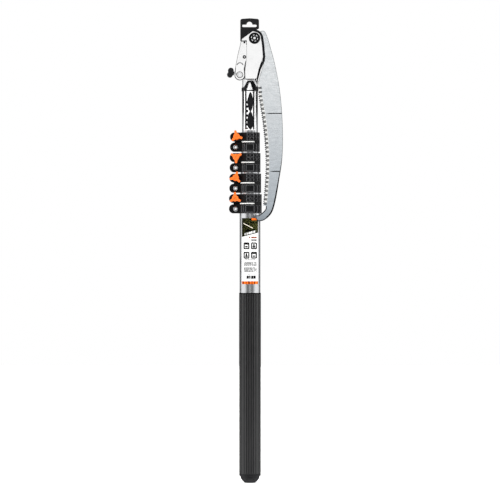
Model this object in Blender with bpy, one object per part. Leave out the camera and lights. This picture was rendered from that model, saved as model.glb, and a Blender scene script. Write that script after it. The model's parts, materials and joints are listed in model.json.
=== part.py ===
"""Telescoping pole saw, 1 m long when closed: five nested tubes, four knob clamps and a folding saw head.

Sizes are in millimetres, and MM turns them into metres where a mesh is made. The pole's axis is Z, the
butt end stands on Z = 0, and the saw hangs on the front, which faces -Y. Points given as (x, z) are
drawn on the front view and extruded along Y.
"""

import math

import bmesh
import bpy
from mathutils import Matrix, Vector

MM = 0.001
ROUND = 36
SMOOTH_ANGLE = math.radians(35)

UP = (0, 0, 1)
BACKWARD = (0, 1, 0)
FORWARD = (0, -1, 0)

# Pole
TUBE_RADII = (22.3, 20.95, 19.6, 18.25, 16.9)
TUBE_WALL = 1.2
SLIDING_GAP = 0.15
RESTING_GAP = 0.3
TUBE_BOTTOM = 19.9
TUBE_TOP = 600.3
HEAD_TUBE_TOP = 852.0
CLAMP_PITCH = 44.3
PLUG_BOTTOM = 28.5
PLUG_PITCH = 16.0
PLUG_FLANGE = 4.0
PLUG_LENGTH = 15.5
PLUG_BORE = 10.0

# Clamps
CLAMP_HEIGHT = 41.5
CLAMP_OVER_TUBE = 21.5
CLAMP_WALL = 3.0
CLAMP_SLOT = (19.0, 22.0)
SLOT_END_X = 9.7
SLOT_BACK = 0.4
EAR_REACH = 45.2
EAR_STEP = 0.73
EAR_DEPTH = 9.5
EAR_ROUND = 9.2
EAR_NECK = 9.6
EAR_INSET = 0.25
SPLIT_HALF = 1.5
KNOB_X = -32.0
KNOB_DROP = 9.0
KNOB_REACH = 13.8
KNOB_ANGLES = (92, 74, 270, 103)
STUD_RADIUS = 3.0
FIXING_X = -31.0
FIXING_DROP = 32.0
FIXING_RADIUS = 2.5
KNOB_NUT_CORNER = 5.6
FIXING_NUT_CORNER = 4.7
NUT_POCKET_GAP = 0.3

# Saw head: layers along Y, from the back of the cheek to the front of the cover plate
CHEEK_BACK = -19.55
CHEEK_FRONT = -25.55
BLADE_BACK = -26.25
BLADE_FRONT = -27.75
PLATE_BACK = -28.45
PLATE_FRONT = -31.45
PIVOT = (9.7, 956.0)
HUB_RADIUS = 17.5
BOLT_RADIUS = 4.0
BUSH_RADIUS = 6.0
WASHER_RADIUS = 11.0
COVER_SCREWS = ((5.0, 876.5), (5.0, 892.0))
COVER_SCREW_RADIUS = 1.85
COVER_HOLE_RADIUS = 2.2

# Saw head: blade
CUTTING_EDGE = ((27.2, 597.0), (31.0, 642.0), (32.9, 686.0), (30.6, 732.0), (25.6, 780.0), (20.9, 810.0),
                (17.5, 834.0), (16.9, 854.0))
TOOTH_COUNT = 56
TOOTH_DEPTH = 2.8
PAWL_TIP = (-6.9, 948.3)
PAWL_ANGLE = math.degrees(math.atan2(PAWL_TIP[1] - PIVOT[1], PAWL_TIP[0] - PIVOT[0])) % 360
LOCK_POSITIONS = (0, 100, 122, 144)
NOTCH_DEPTH = 2.4
NOTCH_HALF_ANGLE = 3.5
NOTCH_SHOULDER = 5.0

# Saw head: lever, thumb screw and hang tab
LEVER_BACK = -26.0
LEVER_FRONT = -28.0
LEVER_PIN = (-12.0, 915.9)
LEVER_HOLE_RADIUS = 2.35
PAWL_PIN = (-12.0, 947.0)
PAWL_HOLE_RADIUS = 1.7
BOSS = (-21.9, 877.5)
BOSS_RADIUS = 7.0
BOSS_FRONT = -33.0
BARREL_RADIUS = 4.0
SCREW_Y = -29.5
SCREW_TILT = math.radians(12.6)
THUMB_STUD_RADIUS = 2.5
THUMB_STUD_TOP = 19.2
THUMB_CENTRE = 20.7
THUMB_HALF_DEPTH = 3.5
TAB_FRONT = -19.25
TAB_BACK = -17.25
TAB_SCREW = (-10.5, 948.0)


# Shapes, as bmeshes in millimetres


def arc(centre, radius, start, end, steps):
    """Points on an arc, with angles in degrees counted from +X towards the second axis."""
    points = []
    for step in range(steps + 1):
        angle = math.radians(start + (end - start) * step / steps)
        points.append((centre[0] + radius * math.cos(angle), centre[1] + radius * math.sin(angle)))
    return points


def rounded(corners, steps=3):
    """A closed outline from (x, z, radius) corners, each rounded by its own radius."""
    points = []
    for index, (x, z, radius) in enumerate(corners):
        corner = Vector((x, z))
        if radius == 0:
            points.append((x, z))
            continue
        before = (Vector(corners[index - 1][:2]) - corner).normalized()
        after = (Vector(corners[(index + 1) % len(corners)][:2]) - corner).normalized()
        half = math.acos(max(-1.0, min(1.0, before.dot(after)))) / 2
        middle = (before + after).normalized()
        centre = corner + middle * (radius / math.sin(half))
        first = corner + before * (radius / math.tan(half)) - centre
        last = corner + after * (radius / math.tan(half)) - centre
        start = math.atan2(first.y, first.x)
        turn = (math.atan2(last.y, last.x) - start + math.pi) % (2 * math.pi) - math.pi
        for step in range(steps + 1):
            angle = start + turn * step / steps
            points.append((centre.x + radius * math.cos(angle), centre.y + radius * math.sin(angle)))
    return points


def curve_through(points, steps):
    """A smooth curve through the points (Catmull-Rom), with the given steps between neighbours."""
    ends = [points[0], *points, points[-1]]
    curve = []
    for p0, p1, p2, p3 in zip(ends, ends[1:], ends[2:], ends[3:]):
        for step in range(steps):
            t = step / steps
            weights = (
                -0.5 * t + t**2 - 0.5 * t**3,
                1 - 2.5 * t**2 + 1.5 * t**3,
                0.5 * t + 2 * t**2 - 1.5 * t**3,
                -0.5 * t**2 + 0.5 * t**3,
            )
            near = (p0, p1, p2, p3)
            curve.append(tuple(sum(w * p[axis] for w, p in zip(weights, near)) for axis in (0, 1)))
    curve.append(points[-1])
    return curve


def spaced(curve, count):
    """Places evenly spaced along a curve, each as (point, direction of the curve there)."""
    lengths = [0.0]
    for a, b in zip(curve, curve[1:]):
        lengths.append(lengths[-1] + math.dist(a, b))
    places = []
    index = 0
    for step in range(count + 1):
        reach = lengths[-1] * step / count
        while index < len(curve) - 2 and lengths[index + 1] < reach:
            index += 1
        share = (reach - lengths[index]) / (lengths[index + 1] - lengths[index])
        start = Vector(curve[index])
        end = Vector(curve[index + 1])
        places.append((start.lerp(end, share), (end - start).normalized()))
    return places


def turned(profile, direction=UP, centre=(0, 0, 0), segments=ROUND):
    """A solid of revolution from (radius, height) points: it ends on the axis, or closes as a ring."""
    mesh = bmesh.new()
    rings = []
    for radius, height in profile:
        if radius == 0:
            rings.append([mesh.verts.new((0, 0, height))])
            continue
        circle = arc((0, 0), radius, 0, 360, segments)[:-1]
        rings.append([mesh.verts.new((x, y, height)) for x, y in circle])
    bands = list(zip(rings, rings[1:]))
    if profile[0][0] > 0:
        bands.append((rings[-1], rings[0]))
    for lower, upper in bands:
        for k in range(segments):
            corners = [
                lower[k % len(lower)],
                lower[(k + 1) % segments % len(lower)],
                upper[(k + 1) % segments % len(upper)],
                upper[k % len(upper)],
            ]
            mesh.faces.new(dict.fromkeys(corners))
    turn = Vector(UP).rotation_difference(Vector(direction)).to_matrix().to_4x4()
    bmesh.ops.transform(mesh, matrix=Matrix.Translation(centre) @ turn, verts=mesh.verts)
    return mesh


def rod(radius, start, end, direction=BACKWARD, centre=(0, 0, 0), segments=16):
    """A plain round rod between two heights along its direction."""
    return turned([(0, start), (radius, start), (radius, end), (0, end)], direction, centre, segments)


def stacked(loops):
    """A solid skinned over loops of equal length, with flat ends."""
    mesh = bmesh.new()
    rings = [[mesh.verts.new(point) for point in loop] for loop in loops]
    mesh.faces.new(rings[0])
    mesh.faces.new(rings[-1])
    for lower, upper in zip(rings, rings[1:]):
        for k in range(len(lower)):
            after = (k + 1) % len(lower)
            mesh.faces.new((lower[k], lower[after], upper[after], upper[k]))
    return mesh


def plate(outline, back, front):
    """A flat piece with an outline of (x, z) points, between two places along Y."""
    return stacked([[(x, y, z) for x, z in outline] for y in (back, front)])


def column(outline, low, high):
    """An upright piece with an outline of (x, y) points, between two heights."""
    return stacked([[(x, y, z) for x, y in outline] for z in (low, high)])


def block(x, y, z):
    """A box from its (low, high) limits along each axis."""
    return column([(x[0], y[0]), (x[1], y[0]), (x[1], y[1]), (x[0], y[1])], *z)


# Objects


def clear_scene():
    """Start from nothing, whatever the file that Blender opened with."""
    for obj in list(bpy.data.objects):
        bpy.data.objects.remove(obj, do_unlink=True)


def material(name, colour, roughness, metallic=0.0):
    look = bpy.data.materials.new(name)
    look.use_nodes = True
    surface = look.node_tree.nodes["Principled BSDF"]
    surface.inputs["Base Color"].default_value = (*colour, 1.0)
    surface.inputs["Roughness"].default_value = roughness
    surface.inputs["Metallic"].default_value = metallic
    return look


def body(name, centre=(0, 0, 0), parent=None):
    """An empty on a joint's axis, which carries the pieces that move with it."""
    empty = bpy.data.objects.new(name, None)
    bpy.context.collection.objects.link(empty)
    empty.empty_display_size = 0.02
    empty.parent = parent
    start = Vector(parent["centre"]) if parent else Vector()
    empty.location = (Vector(centre) - start) * MM
    empty["centre"] = tuple(float(value) for value in centre)
    return empty


def piece(name, shape, look, holder, joined=(), cut=(), kept=()):
    """A named object made of shapes joined, cut and kept to, with its origin at its holder's.

    Booleans run in millimetres, where Blender's rounding is finest beside the sizes here.
    """
    obj = as_object(name, shape)
    for operation, shapes in (("UNION", joined), ("DIFFERENCE", cut), ("INTERSECT", kept)):
        for extra in shapes:
            combine(obj, as_object("tool", extra), operation)
    mesh = obj.data
    mesh.name = name
    mesh.transform(Matrix.Scale(MM, 4) @ Matrix.Translation(-Vector(holder["centre"])))
    mesh.materials.clear()
    mesh.materials.append(look)
    mesh.shade_smooth()
    mesh.set_sharp_from_angle(angle=SMOOTH_ANGLE)
    obj.parent = holder
    return obj


def as_object(name, shape):
    bmesh.ops.recalc_face_normals(shape, faces=shape.faces)
    mesh = bpy.data.meshes.new(name)
    shape.to_mesh(mesh)
    shape.free()
    obj = bpy.data.objects.new(name, mesh)
    bpy.context.collection.objects.link(obj)
    return obj


def combine(obj, tool, operation):
    """Apply a Boolean with the tool, and remove the tool. MANIFOLD is for where EXACT leaves gaps."""
    modifier = obj.modifiers.new(operation, "BOOLEAN")
    modifier.operation = operation
    modifier.object = tool
    for solver in ("EXACT", "MANIFOLD"):
        modifier.solver = solver
        bpy.context.view_layer.update()
        graph = bpy.context.evaluated_depsgraph_get()
        result = bpy.data.meshes.new_from_object(obj.evaluated_get(graph))
        if is_closed(result):
            break
    obj.modifiers.clear()
    obj.data = result
    bpy.data.objects.remove(tool, do_unlink=True)


def is_closed(mesh):
    shape = bmesh.new()
    shape.from_mesh(mesh)
    closed = all(edge.is_manifold for edge in shape.edges)
    shape.free()
    return closed


# Pole


def tube_top(number):
    """The height of a tube's top, for tubes 1 to 5."""
    if number == len(TUBE_RADII):
        return HEAD_TUBE_TOP
    return TUBE_TOP + CLAMP_PITCH * (number - 1)


def plug_bottom(number):
    return PLUG_BOTTOM + PLUG_PITCH * (number - 2)


def tube_bottom(number):
    return TUBE_BOTTOM if number == 1 else plug_bottom(number) + PLUG_FLANGE + RESTING_GAP


def ring(inner, outer, low, high, segments=ROUND):
    return turned([(outer, low), (outer, high), (inner, high), (inner, low)], segments=segments)


def make_tube(number, holder, look):
    outer = TUBE_RADII[number - 1]
    shape = ring(outer - TUBE_WALL, outer, tube_bottom(number), tube_top(number))
    return piece(f"tube_{number}", shape, look, holder)


def make_plug(number, holder, look):
    """The bush in a sliding tube's foot: its flange runs in the tube around it."""
    flange = TUBE_RADII[number - 2] - TUBE_WALL - SLIDING_GAP
    stub = TUBE_RADII[number - 1] - TUBE_WALL - SLIDING_GAP
    low = plug_bottom(number)
    profile = [
        (flange, low),
        (flange, low + PLUG_FLANGE),
        (stub, low + PLUG_FLANGE),
        (stub, low + PLUG_LENGTH),
        (PLUG_BORE, low + PLUG_LENGTH),
        (PLUG_BORE, low),
    ]
    return piece(f"tube_{number}_plug", turned(profile, segments=24), look, holder)


def make_end_cap(holder, look):
    plug = TUBE_RADII[0] - TUBE_WALL - SLIDING_GAP
    profile = [(0, 0), (12.4, 0), (16.4, 4.3), (19.6, 8.8), (20.8, 13.0), (20.8, 14.6)]
    profile += [(23.4, 15.0), (23.4, 19.6), (plug, 19.6), (plug, 27.8), (17.4, 27.8), (17.4, 12.0), (0, 12.0)]
    return piece("end_cap", turned(profile, segments=32), look, holder)


def make_grip(holder, look):
    """A rubber sleeve with flutes along it."""
    crest = 23.45
    valley = 22.95
    bore = 22.45
    flutes = 32
    outline = []
    for flute in range(flutes):
        for radius, place in ((crest, 0.0), (crest, 0.45), (valley, 0.6), (valley, 0.85)):
            angle = 2 * math.pi * (flute + place) / flutes
            outline.append((radius * math.cos(angle), radius * math.sin(angle)))
    shape = column(outline, TUBE_BOTTOM, 409.0)
    return piece("grip_sleeve", shape, look, holder, cut=[rod(bore, 0, 500, UP, segments=ROUND)])


def make_label(holder, look):
    """A sticker bent around the front of the outer tube."""
    inner = TUBE_RADII[0] + 0.1
    outer = inner + 0.2
    outline = arc((0, 0), inner, 220, 320, 10) + arc((0, 0), outer, 320, 220, 10)
    return piece("pole_label", column(outline, 428.0, 570.0), look, holder)


# Clamps


def ear_outline(reach, inner_end, top):
    """Two round-ended ears above one another, with a narrower neck between them."""
    slot_top = top - CLAMP_SLOT[0]
    slot_bottom = top - CLAMP_SLOT[1]
    bottom = top - CLAMP_HEIGHT + EAR_INSET
    top -= EAR_INSET
    neck = EAR_NECK - reach
    corners = [
        (inner_end, top, 0),
        (-reach, top, EAR_ROUND),
        (-reach, slot_top, EAR_ROUND),
        (neck, slot_top, 0),
        (neck, slot_bottom, 0),
        (-reach, slot_bottom, EAR_ROUND),
        (-reach, bottom, EAR_ROUND),
        (inner_end, bottom, 0),
    ]
    return rounded(corners, steps=5)


def make_clamp(number, holder, looks):
    """A plastic collar on a tube's top end, which squeezes the next tube when its knob is turned."""
    lower = TUBE_RADII[number - 1]
    upper = TUBE_RADII[number]
    top = tube_top(number) + CLAMP_OVER_TUBE
    bottom = top - CLAMP_HEIGHT
    step = tube_top(number) + RESTING_GAP
    outer = lower + CLAMP_WALL
    reach = EAR_REACH - EAR_STEP * (number - 1)
    knob = (KNOB_X + number - 1, 0, top - KNOB_DROP)
    screw = (FIXING_X, 0, top - FIXING_DROP)
    bore = turned(
        [
            (0, bottom - 1),
            (lower + SLIDING_GAP, bottom - 1),
            (lower + SLIDING_GAP, step),
            (upper + SLIDING_GAP, step),
            (upper + SLIDING_GAP, top + 1),
            (0, top + 1),
        ]
    )
    ears = plate(ear_outline(reach, -lower - 0.5, top), EAR_DEPTH, -EAR_DEPTH)
    slot = (top - CLAMP_SLOT[1], top - CLAMP_SLOT[0])
    cuts = [
        bore,
        block((-60, -upper + 4), (-SPLIT_HALF, SPLIT_HALF), (bottom - 2, top + 2)),
        block((-60, SLOT_END_X), (-40, SLOT_BACK), slot),
        rod(STUD_RADIUS + 0.3, -20, 20, centre=knob),
        rod(KNOB_NUT_CORNER + NUT_POCKET_GAP, 6.5, 20, centre=knob, segments=6),
        rod(FIXING_RADIUS + 0.3, -20, 20, centre=screw),
        rod(FIXING_NUT_CORNER + NUT_POCKET_GAP, 7.0, 20, centre=screw, segments=6),
    ]
    shape = rod(outer, bottom, top, UP, segments=ROUND)
    piece(f"clamp_{number}_collar", shape, looks["black_plastic"], holder, joined=[ears], cut=cuts)
    make_clamp_knob(number, knob, holder, looks)
    radii = (STUD_RADIUS, KNOB_NUT_CORNER)
    make_nut(f"clamp_{number}_knob_nut", radii, (6.8, 11.0), knob, holder, looks)
    shank = FIXING_RADIUS
    head = [(0, -21.0), (shank, -21.0), (shank, 0), (5.25, 0), (5.25, 1.4), (3.7, 2.7), (0, 3.2)]
    front = (screw[0], -EAR_DEPTH - RESTING_GAP, screw[2])
    socket = rod(1.9, 1.2, 5, FORWARD, front, segments=6)
    fixing = turned(head, FORWARD, front, segments=14)
    piece(f"clamp_{number}_fixing_screw", fixing, looks["zinc"], holder, cut=[socket])
    radii = (FIXING_RADIUS, FIXING_NUT_CORNER)
    make_nut(f"clamp_{number}_fixing_nut", radii, (7.3, 10.6), screw, holder, looks)


def make_nut(name, radii, span, centre, holder, looks):
    """A hexagonal nut along Y: (bolt radius, corner radius) and (front, back)."""
    bore = rod(radii[0] + SLIDING_GAP, span[0] - 1, span[1] + 1, centre=centre)
    piece(name, rod(radii[1], *span, centre=centre, segments=6), looks["zinc"], holder, cut=[bore])


def knob_outline(centre, angle):
    """A three-armed star with blunt arms."""
    waist = (6.6, 3.12)
    tip = (KNOB_REACH - 0.6, 2.16)
    points = []
    for arm in range(3):
        direction = math.radians(angle + 120 * arm)
        along = Vector((math.cos(direction), math.sin(direction)))
        across = Vector((-along.y, along.x))
        for side, (reach, half_width) in ((-1, waist), (-1, tip), (1, tip), (1, waist)):
            point = along * reach + across * half_width * side
            points.append((centre[0] + point.x, centre[2] + point.y))
    return points


def make_clamp_knob(number, centre, holder, looks):
    """The orange knob and the stud moulded into it, which turn together."""
    turning = body(f"clamp_{number}_knob_axis", centre, holder)
    star = plate(knob_outline(centre, KNOB_ANGLES[number - 1]), -19.0, -26.0)
    hub = rod(7.0, -EAR_DEPTH - RESTING_GAP, -19.5, centre=centre, segments=20)
    hole = rod(STUD_RADIUS + 0.2, -5, -19.5, centre=centre)
    piece(f"clamp_{number}_knob", hub, looks["orange_plastic"], turning, joined=[star], cut=[hole])
    stud = rod(STUD_RADIUS, -19.2, 13.0, centre=centre)
    piece(f"clamp_{number}_stud", stud, looks["zinc"], turning)


# Neck


def make_ferrule(holder, look):
    """A ring on the head tube's top end, with an arched tongue up the front of the casting."""
    inner = TUBE_RADII[-1] + SLIDING_GAP
    outer = inner + 1.15
    low = 843.7
    wall = ring(inner, outer, low, 867.5)
    arch = [(-30, 851, 0), (-14.0, 851, 0), (-6.9, 866.8, 3.5), (8.6, 866.8, 3.5)]
    arch += [(14.5, 853.7, 0), (30, 853.7, 0), (30, 880, 0), (-30, 880, 0)]
    above_front = plate(rounded(arch), 0, -40)
    above_back = block((-30, 30), (-0.5, 40), (851.3, 881))
    window = plate([(-8.0, 845.5), (6.0, 845.5), (0.6, 861.1), (-1.8, 861.1)], -5, -45)
    return piece("neck_ferrule", wall, look, holder, cut=[above_front, above_back, window])


def make_decal(holder, look):
    """A thin ornament on the front of the head tube: a pointed shape with two wide lobes."""
    inner = TUBE_RADII[-1] + 0.1
    shell = ring(inner, inner + 0.2, 760, 841)
    half_width = [(841, 2.0), (836, 4.6), (829, 7.4), (819, 7.0), (809, 4.2), (803, 3.4), (797, 4.4)]
    half_width += [(787, 7.2), (776, 6.4), (766, 2.6), (760, 0.6)]
    middle = 0.8
    right = [(middle + half, z) for z, half in half_width]
    left = [(middle - half, z) for z, half in reversed(half_width)]
    keep = plate(right + left, 1, -40)
    piece("neck_decal", shell, look, holder, kept=[keep])


def casting_loops():
    """The casting from its spigot up: round in the tube, then leaning forward to the cheek."""
    # height, X of the middle, Y of the middle, half width, half depth
    sections = [
        (812.0, 0.0, 0.0, 14.0, 14.0),
        (815.0, 0.0, 0.0, 15.5, 15.5),
        (852.3, 0.0, 0.0, 15.5, 15.5),
        (852.3, 0.0, 0.0, 16.9, 16.9),
        (868.0, 0.0, 0.0, 16.9, 16.9),
        (882.0, 0.0, -3.4, 16.9, 16.9),
        (900.0, 1.0, -9.4, 16.4, 13.4),
        (918.0, 3.0, -16.0, 15.0, 8.0),
        (932.0, 5.0, -21.0, 12.0, 3.4),
    ]
    loops = []
    for z, x, y, wide, deep in sections:
        circle = arc((0, 0), 1.0, 0, 360, 28)[:-1]
        loops.append([(x + wide * a, y + deep * b, z) for a, b in circle])
    return loops


def make_casting(holder, look):
    """The die-cast head: a spigot in the tube, and the cheek that carries blade, lever and hang tab."""
    cheek = [(x, z, 0) for x, z in arc(PIVOT, 17.9, 5, 108, 12)]
    cheek += [(-17.2, 953.6, 1.5), (-18.6, 945.0, 0), (-18.6, 906.0, 6), (-15.5, 868.3, 1.5)]
    cheek += [(15.0, 868.3, 1.0), (22.0, 888.8, 0), (30.2, 907.4, 3), (31.3, 917.0, 0), (29.2, 942.0, 0)]
    bodywork = [plate(rounded(cheek), CHEEK_BACK, CHEEK_FRONT)]
    pivot = (PIVOT[0], 0, PIVOT[1])
    pin = (LEVER_PIN[0], 0, LEVER_PIN[1])
    holes = [
        rod(BOLT_RADIUS + 0.15, -40, 0, centre=pivot),
        rod(LEVER_HOLE_RADIUS, -40, 0, centre=pin),
        rod(3.6, CHEEK_BACK + 0.05, 5, centre=pin, segments=20),
        rod(5.6, -40, -20.9, centre=pin, segments=20),
        rod(8.2, CHEEK_BACK + 0.05, 5, centre=pivot, segments=20),
        rod(1.75, -24.0, 0, centre=(TAB_SCREW[0], 0, TAB_SCREW[1]), segments=12),
    ]
    for x, z in COVER_SCREWS:
        holes.append(rod(COVER_HOLE_RADIUS, -40, 0, centre=(x, 0, z), segments=12))
        holes.append(rod(4.2, -15.0, 40, centre=(x, 0, z), segments=16))
    return piece("head_casting", stacked(casting_loops()), look, holder, joined=bodywork, cut=holes)


# Saw head

def hub_outline():
    """The round end of the blade, clockwise from below, with a notch for each position that locks."""
    outline = []
    start = 250
    for position in LOCK_POSITIONS:
        notch = PAWL_ANGLE - position
        steps = 2 + int((start - notch) / 12)
        outline += arc(PIVOT, HUB_RADIUS, start, notch + NOTCH_SHOULDER, steps)
        outline += arc(PIVOT, HUB_RADIUS - NOTCH_DEPTH, notch + NOTCH_HALF_ANGLE, notch - NOTCH_HALF_ANGLE, 1)
        start = notch - NOTCH_SHOULDER
    return outline + [arc(PIVOT, HUB_RADIUS, start, start, 1)[0]]


def tooth_outline():
    """Saw teeth from the hook up to the heel, with their tips on the cutting edge."""
    points = []
    for half_step, (tip, way) in enumerate(spaced(curve_through(CUTTING_EDGE, 12), 2 * TOOTH_COUNT)):
        depth = TOOTH_DEPTH if half_step % 2 else 0.0
        points.append((tip.x + way.y * depth, tip.y - way.x * depth))
    return points


def blade_outline():
    back = [(34.4, 966.0), (41.5, 945.0), (53.8, 899.0), (64.5, 840.0), (70.0, 770.0), (69.4, 702.0)]
    back += [(62.6, 652.0), (55.0, 608.0), (46.5, 581.0), (31.0, 566.0)]
    back += [(18.0, 562.3), (12.6, 567.5), (12.0, 576.0)]
    hook = [(18.9, 575.6), (27.7, 582.4), (33.0, 588.5), (33.6, 593.0)]
    heel = [(17.2, 858.0), (22.6, 880.0), (29.2, 901.0)]
    shoulder = [arc(PIVOT, 21.0, 48, 48, 1)[0], (29.0, 972.4)]
    return hub_outline() + shoulder + curve_through(back, 3) + hook + tooth_outline() + heel


def make_blade(holder, looks):
    """The saw blade, and the bush and washers on which it turns."""
    pivot = (PIVOT[0], 0, PIVOT[1])
    turning = body("blade_axis", pivot, holder)
    hole = rod(BUSH_RADIUS + SLIDING_GAP, -40, 0, centre=pivot, segments=20)
    shape = plate(blade_outline(), BLADE_BACK, BLADE_FRONT)
    piece("saw_blade", shape, looks["blade_steel"], turning, cut=[hole])
    for name, back, front, inner, outer in (
        ("blade_bush", CHEEK_FRONT, PLATE_BACK, BOLT_RADIUS + 0.15, BUSH_RADIUS),
        ("blade_washer_back", CHEEK_FRONT, BLADE_BACK, BUSH_RADIUS + 0.2, WASHER_RADIUS),
        ("blade_washer_front", BLADE_FRONT, PLATE_BACK, BUSH_RADIUS + 0.2, WASHER_RADIUS),
    ):
        low = back - SLIDING_GAP
        high = front + SLIDING_GAP
        profile = [(inner, low), (outer, low), (outer, high), (inner, high)]
        shape = turned(profile, BACKWARD, pivot, segments=20)
        piece(name, shape, looks["zinc"], holder)


def make_pivot_bolt(holder, looks):
    pivot = (PIVOT[0], 0, PIVOT[1])
    disc = [(4.3, 31.6), (12.4, 31.6), (12.4, 33.4), (11.6, 34.2), (4.3, 34.2)]
    piece("pivot_disc", turned(disc, FORWARD, pivot, segments=28), looks["black_steel"], holder)
    shaft = BOLT_RADIUS
    bolt = [(0, 12.4), (shaft, 12.4), (shaft, 34.5), (7.6, 34.5), (7.6, 35.6), (5.8, 36.9), (0, 37.3)]
    star = rod(2.9, 35.0, 45, FORWARD, pivot, segments=6)
    piece("pivot_bolt", turned(bolt, FORWARD, pivot, segments=20), looks["black_steel"], holder, cut=[star])
    make_nut("pivot_nut", (BOLT_RADIUS, 7.2), (-19.25, -13.6), pivot, holder, looks)


def make_cover_plate(holder, looks):
    outline = [(x, z, 0) for x, z in arc(PIVOT, 18.7, 5, 108, 14)]
    outline += [(-17.4, 953.9, 1.2), (-17.9, 951.0, 0), (-7.5, 951.0, 0), (-7.5, 916.0, 0)]
    outline += [(-11.0, 885.0, 0), (-10.4, 868.6, 0), (10.2, 868.6, 3), (14.6, 856.6, 0), (15.8, 857.0, 0)]
    outline += [(17.4, 867.0, 0), (23.1, 888.4, 0), (31.6, 906.8, 2.5), (32.9, 916.0, 0), (30.7, 942.0, 0)]
    blind_holes = [rod(2.0, -30.6, -20, centre=(x, 0, z), segments=12) for x, z in COVER_SCREWS]
    bore = rod(BOLT_RADIUS + 0.15, -40, 0, centre=(PIVOT[0], 0, PIVOT[1]))
    shape = plate(rounded(outline), PLATE_BACK, PLATE_FRONT)
    piece("cover_plate", shape, looks["polished_steel"], holder, cut=[bore, *blind_holes])
    spacer = rounded([(-4, 870, 2), (14, 870, 2), (14, 899, 2), (-4, 899, 2)])
    back = CHEEK_FRONT - SLIDING_GAP
    front = PLATE_BACK + SLIDING_GAP
    holes = [rod(COVER_HOLE_RADIUS, -40, 0, centre=(x, 0, z), segments=12) for x, z in COVER_SCREWS]
    piece("plate_spacer", plate(spacer, back, front), looks["polished_steel"], holder, cut=holes)
    shank = COVER_SCREW_RADIUS
    profile = [(0, -30.3), (shank, -30.3), (shank, -14.7)]
    profile += [(3.9, -14.7), (3.9, -12.2), (2.6, -11.2), (0, -11.2)]
    for name, (x, z) in zip(("cover_screw_lower", "cover_screw_upper"), COVER_SCREWS):
        shape = turned(profile, BACKWARD, (x, 0, z), segments=12)
        recess = rod(1.6, -12.8, 0, centre=(x, 0, z), segments=6)
        piece(name, shape, looks["zinc"], holder, cut=[recess])


def lever_outline():
    top = [(-19.4, 949.4), (-22.4, 937.0), (-25.8, 923.0), (-29.0, 907.0), (-31.6, 893.0)]
    foot = arc((-22.0, 877.0), 11.3, 175, 370, 14)
    inner = [(-12.0, 890.0), (-9.5, 905.0), (-4.5, 914.0), (-4.5, 935.0), (-7.6, 944.0)]
    inner += [PAWL_TIP, (-9.4, 949.6)]
    return top + foot + inner


def make_lever(holder, looks):
    """The lock lever with its boss, its pins and spring, and the thumb screw that holds it shut."""
    pin = (LEVER_PIN[0], 0, LEVER_PIN[1])
    rocking = body("lock_lever_axis", pin, holder)
    boss = (BOSS[0], 0, BOSS[1])
    screw_centre = (BOSS[0], SCREW_Y, BOSS[1])
    screw_way = (-math.cos(SCREW_TILT), 0, math.sin(SCREW_TILT))
    cuts = [
        rod(LEVER_HOLE_RADIUS, -40, 0, centre=pin),
        rod(PAWL_HOLE_RADIUS, -40, 0, centre=(PAWL_PIN[0], 0, PAWL_PIN[1]), segments=12),
        rod(BARREL_RADIUS + 0.2, -40, 0, centre=boss, segments=20),
        rod(THUMB_STUD_RADIUS + 0.3, -7.2, 20, screw_way, screw_centre, segments=12),
    ]
    shape = plate(lever_outline(), LEVER_BACK, LEVER_FRONT)
    raised = rod(BOSS_RADIUS, BOSS_FRONT, LEVER_BACK - 0.5, centre=boss, segments=24)
    piece("lock_lever", shape, looks["polished_steel"], rocking, joined=[raised], cut=cuts)
    nut = rod(BARREL_RADIUS, BOSS_FRONT + 0.4, LEVER_BACK - 0.4, centre=boss, segments=20)
    cross = rod(THUMB_STUD_RADIUS + 0.2, -20, 20, screw_way, screw_centre, segments=12)
    piece("barrel_nut", nut, looks["zinc"], rocking, cut=[cross])
    pawl = [(0, 25.85), (1.5, 25.85), (1.5, 28.2), (2.1, 28.2), (2.1, 28.7), (0, 29.1)]
    place = (PAWL_PIN[0], 0, PAWL_PIN[1])
    piece("pawl_pin", turned(pawl, FORWARD, place, segments=12), looks["zinc"], rocking)
    rivet = [(0, 17.9), (3.2, 17.9), (3.2, 19.25), (2.2, 19.25)]
    rivet += [(2.2, 28.2), (3.8, 28.2), (3.8, 29.2), (0, 29.8)]
    piece("lever_pin", turned(rivet, FORWARD, pin, segments=18), looks["zinc"], holder)
    make_spring(pin, holder, looks["zinc"])
    make_thumb_screw(screw_centre, Vector(screw_way), rocking, looks)


def make_spring(centre, holder, look):
    """A short coil of wire round the lever's pin, in the pocket of the casting."""
    wire = 0.45
    coil = 4.0
    turns = 2.5
    start = -24.9
    end = -21.6
    steps = 32
    loops = []
    for step in range(steps + 1):
        angle = 2 * math.pi * turns * step / steps
        y = start + (end - start) * step / steps
        outward = Vector((math.cos(angle), 0, math.sin(angle)))
        middle = Vector(centre) + Vector((0, y, 0)) + outward * coil
        circle = arc((0, 0), wire, 0, 360, 6)[:-1]
        loops.append([middle + outward * a + Vector(BACKWARD) * b for a, b in circle])
    piece("lever_spring", stacked(loops), look, holder)


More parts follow.
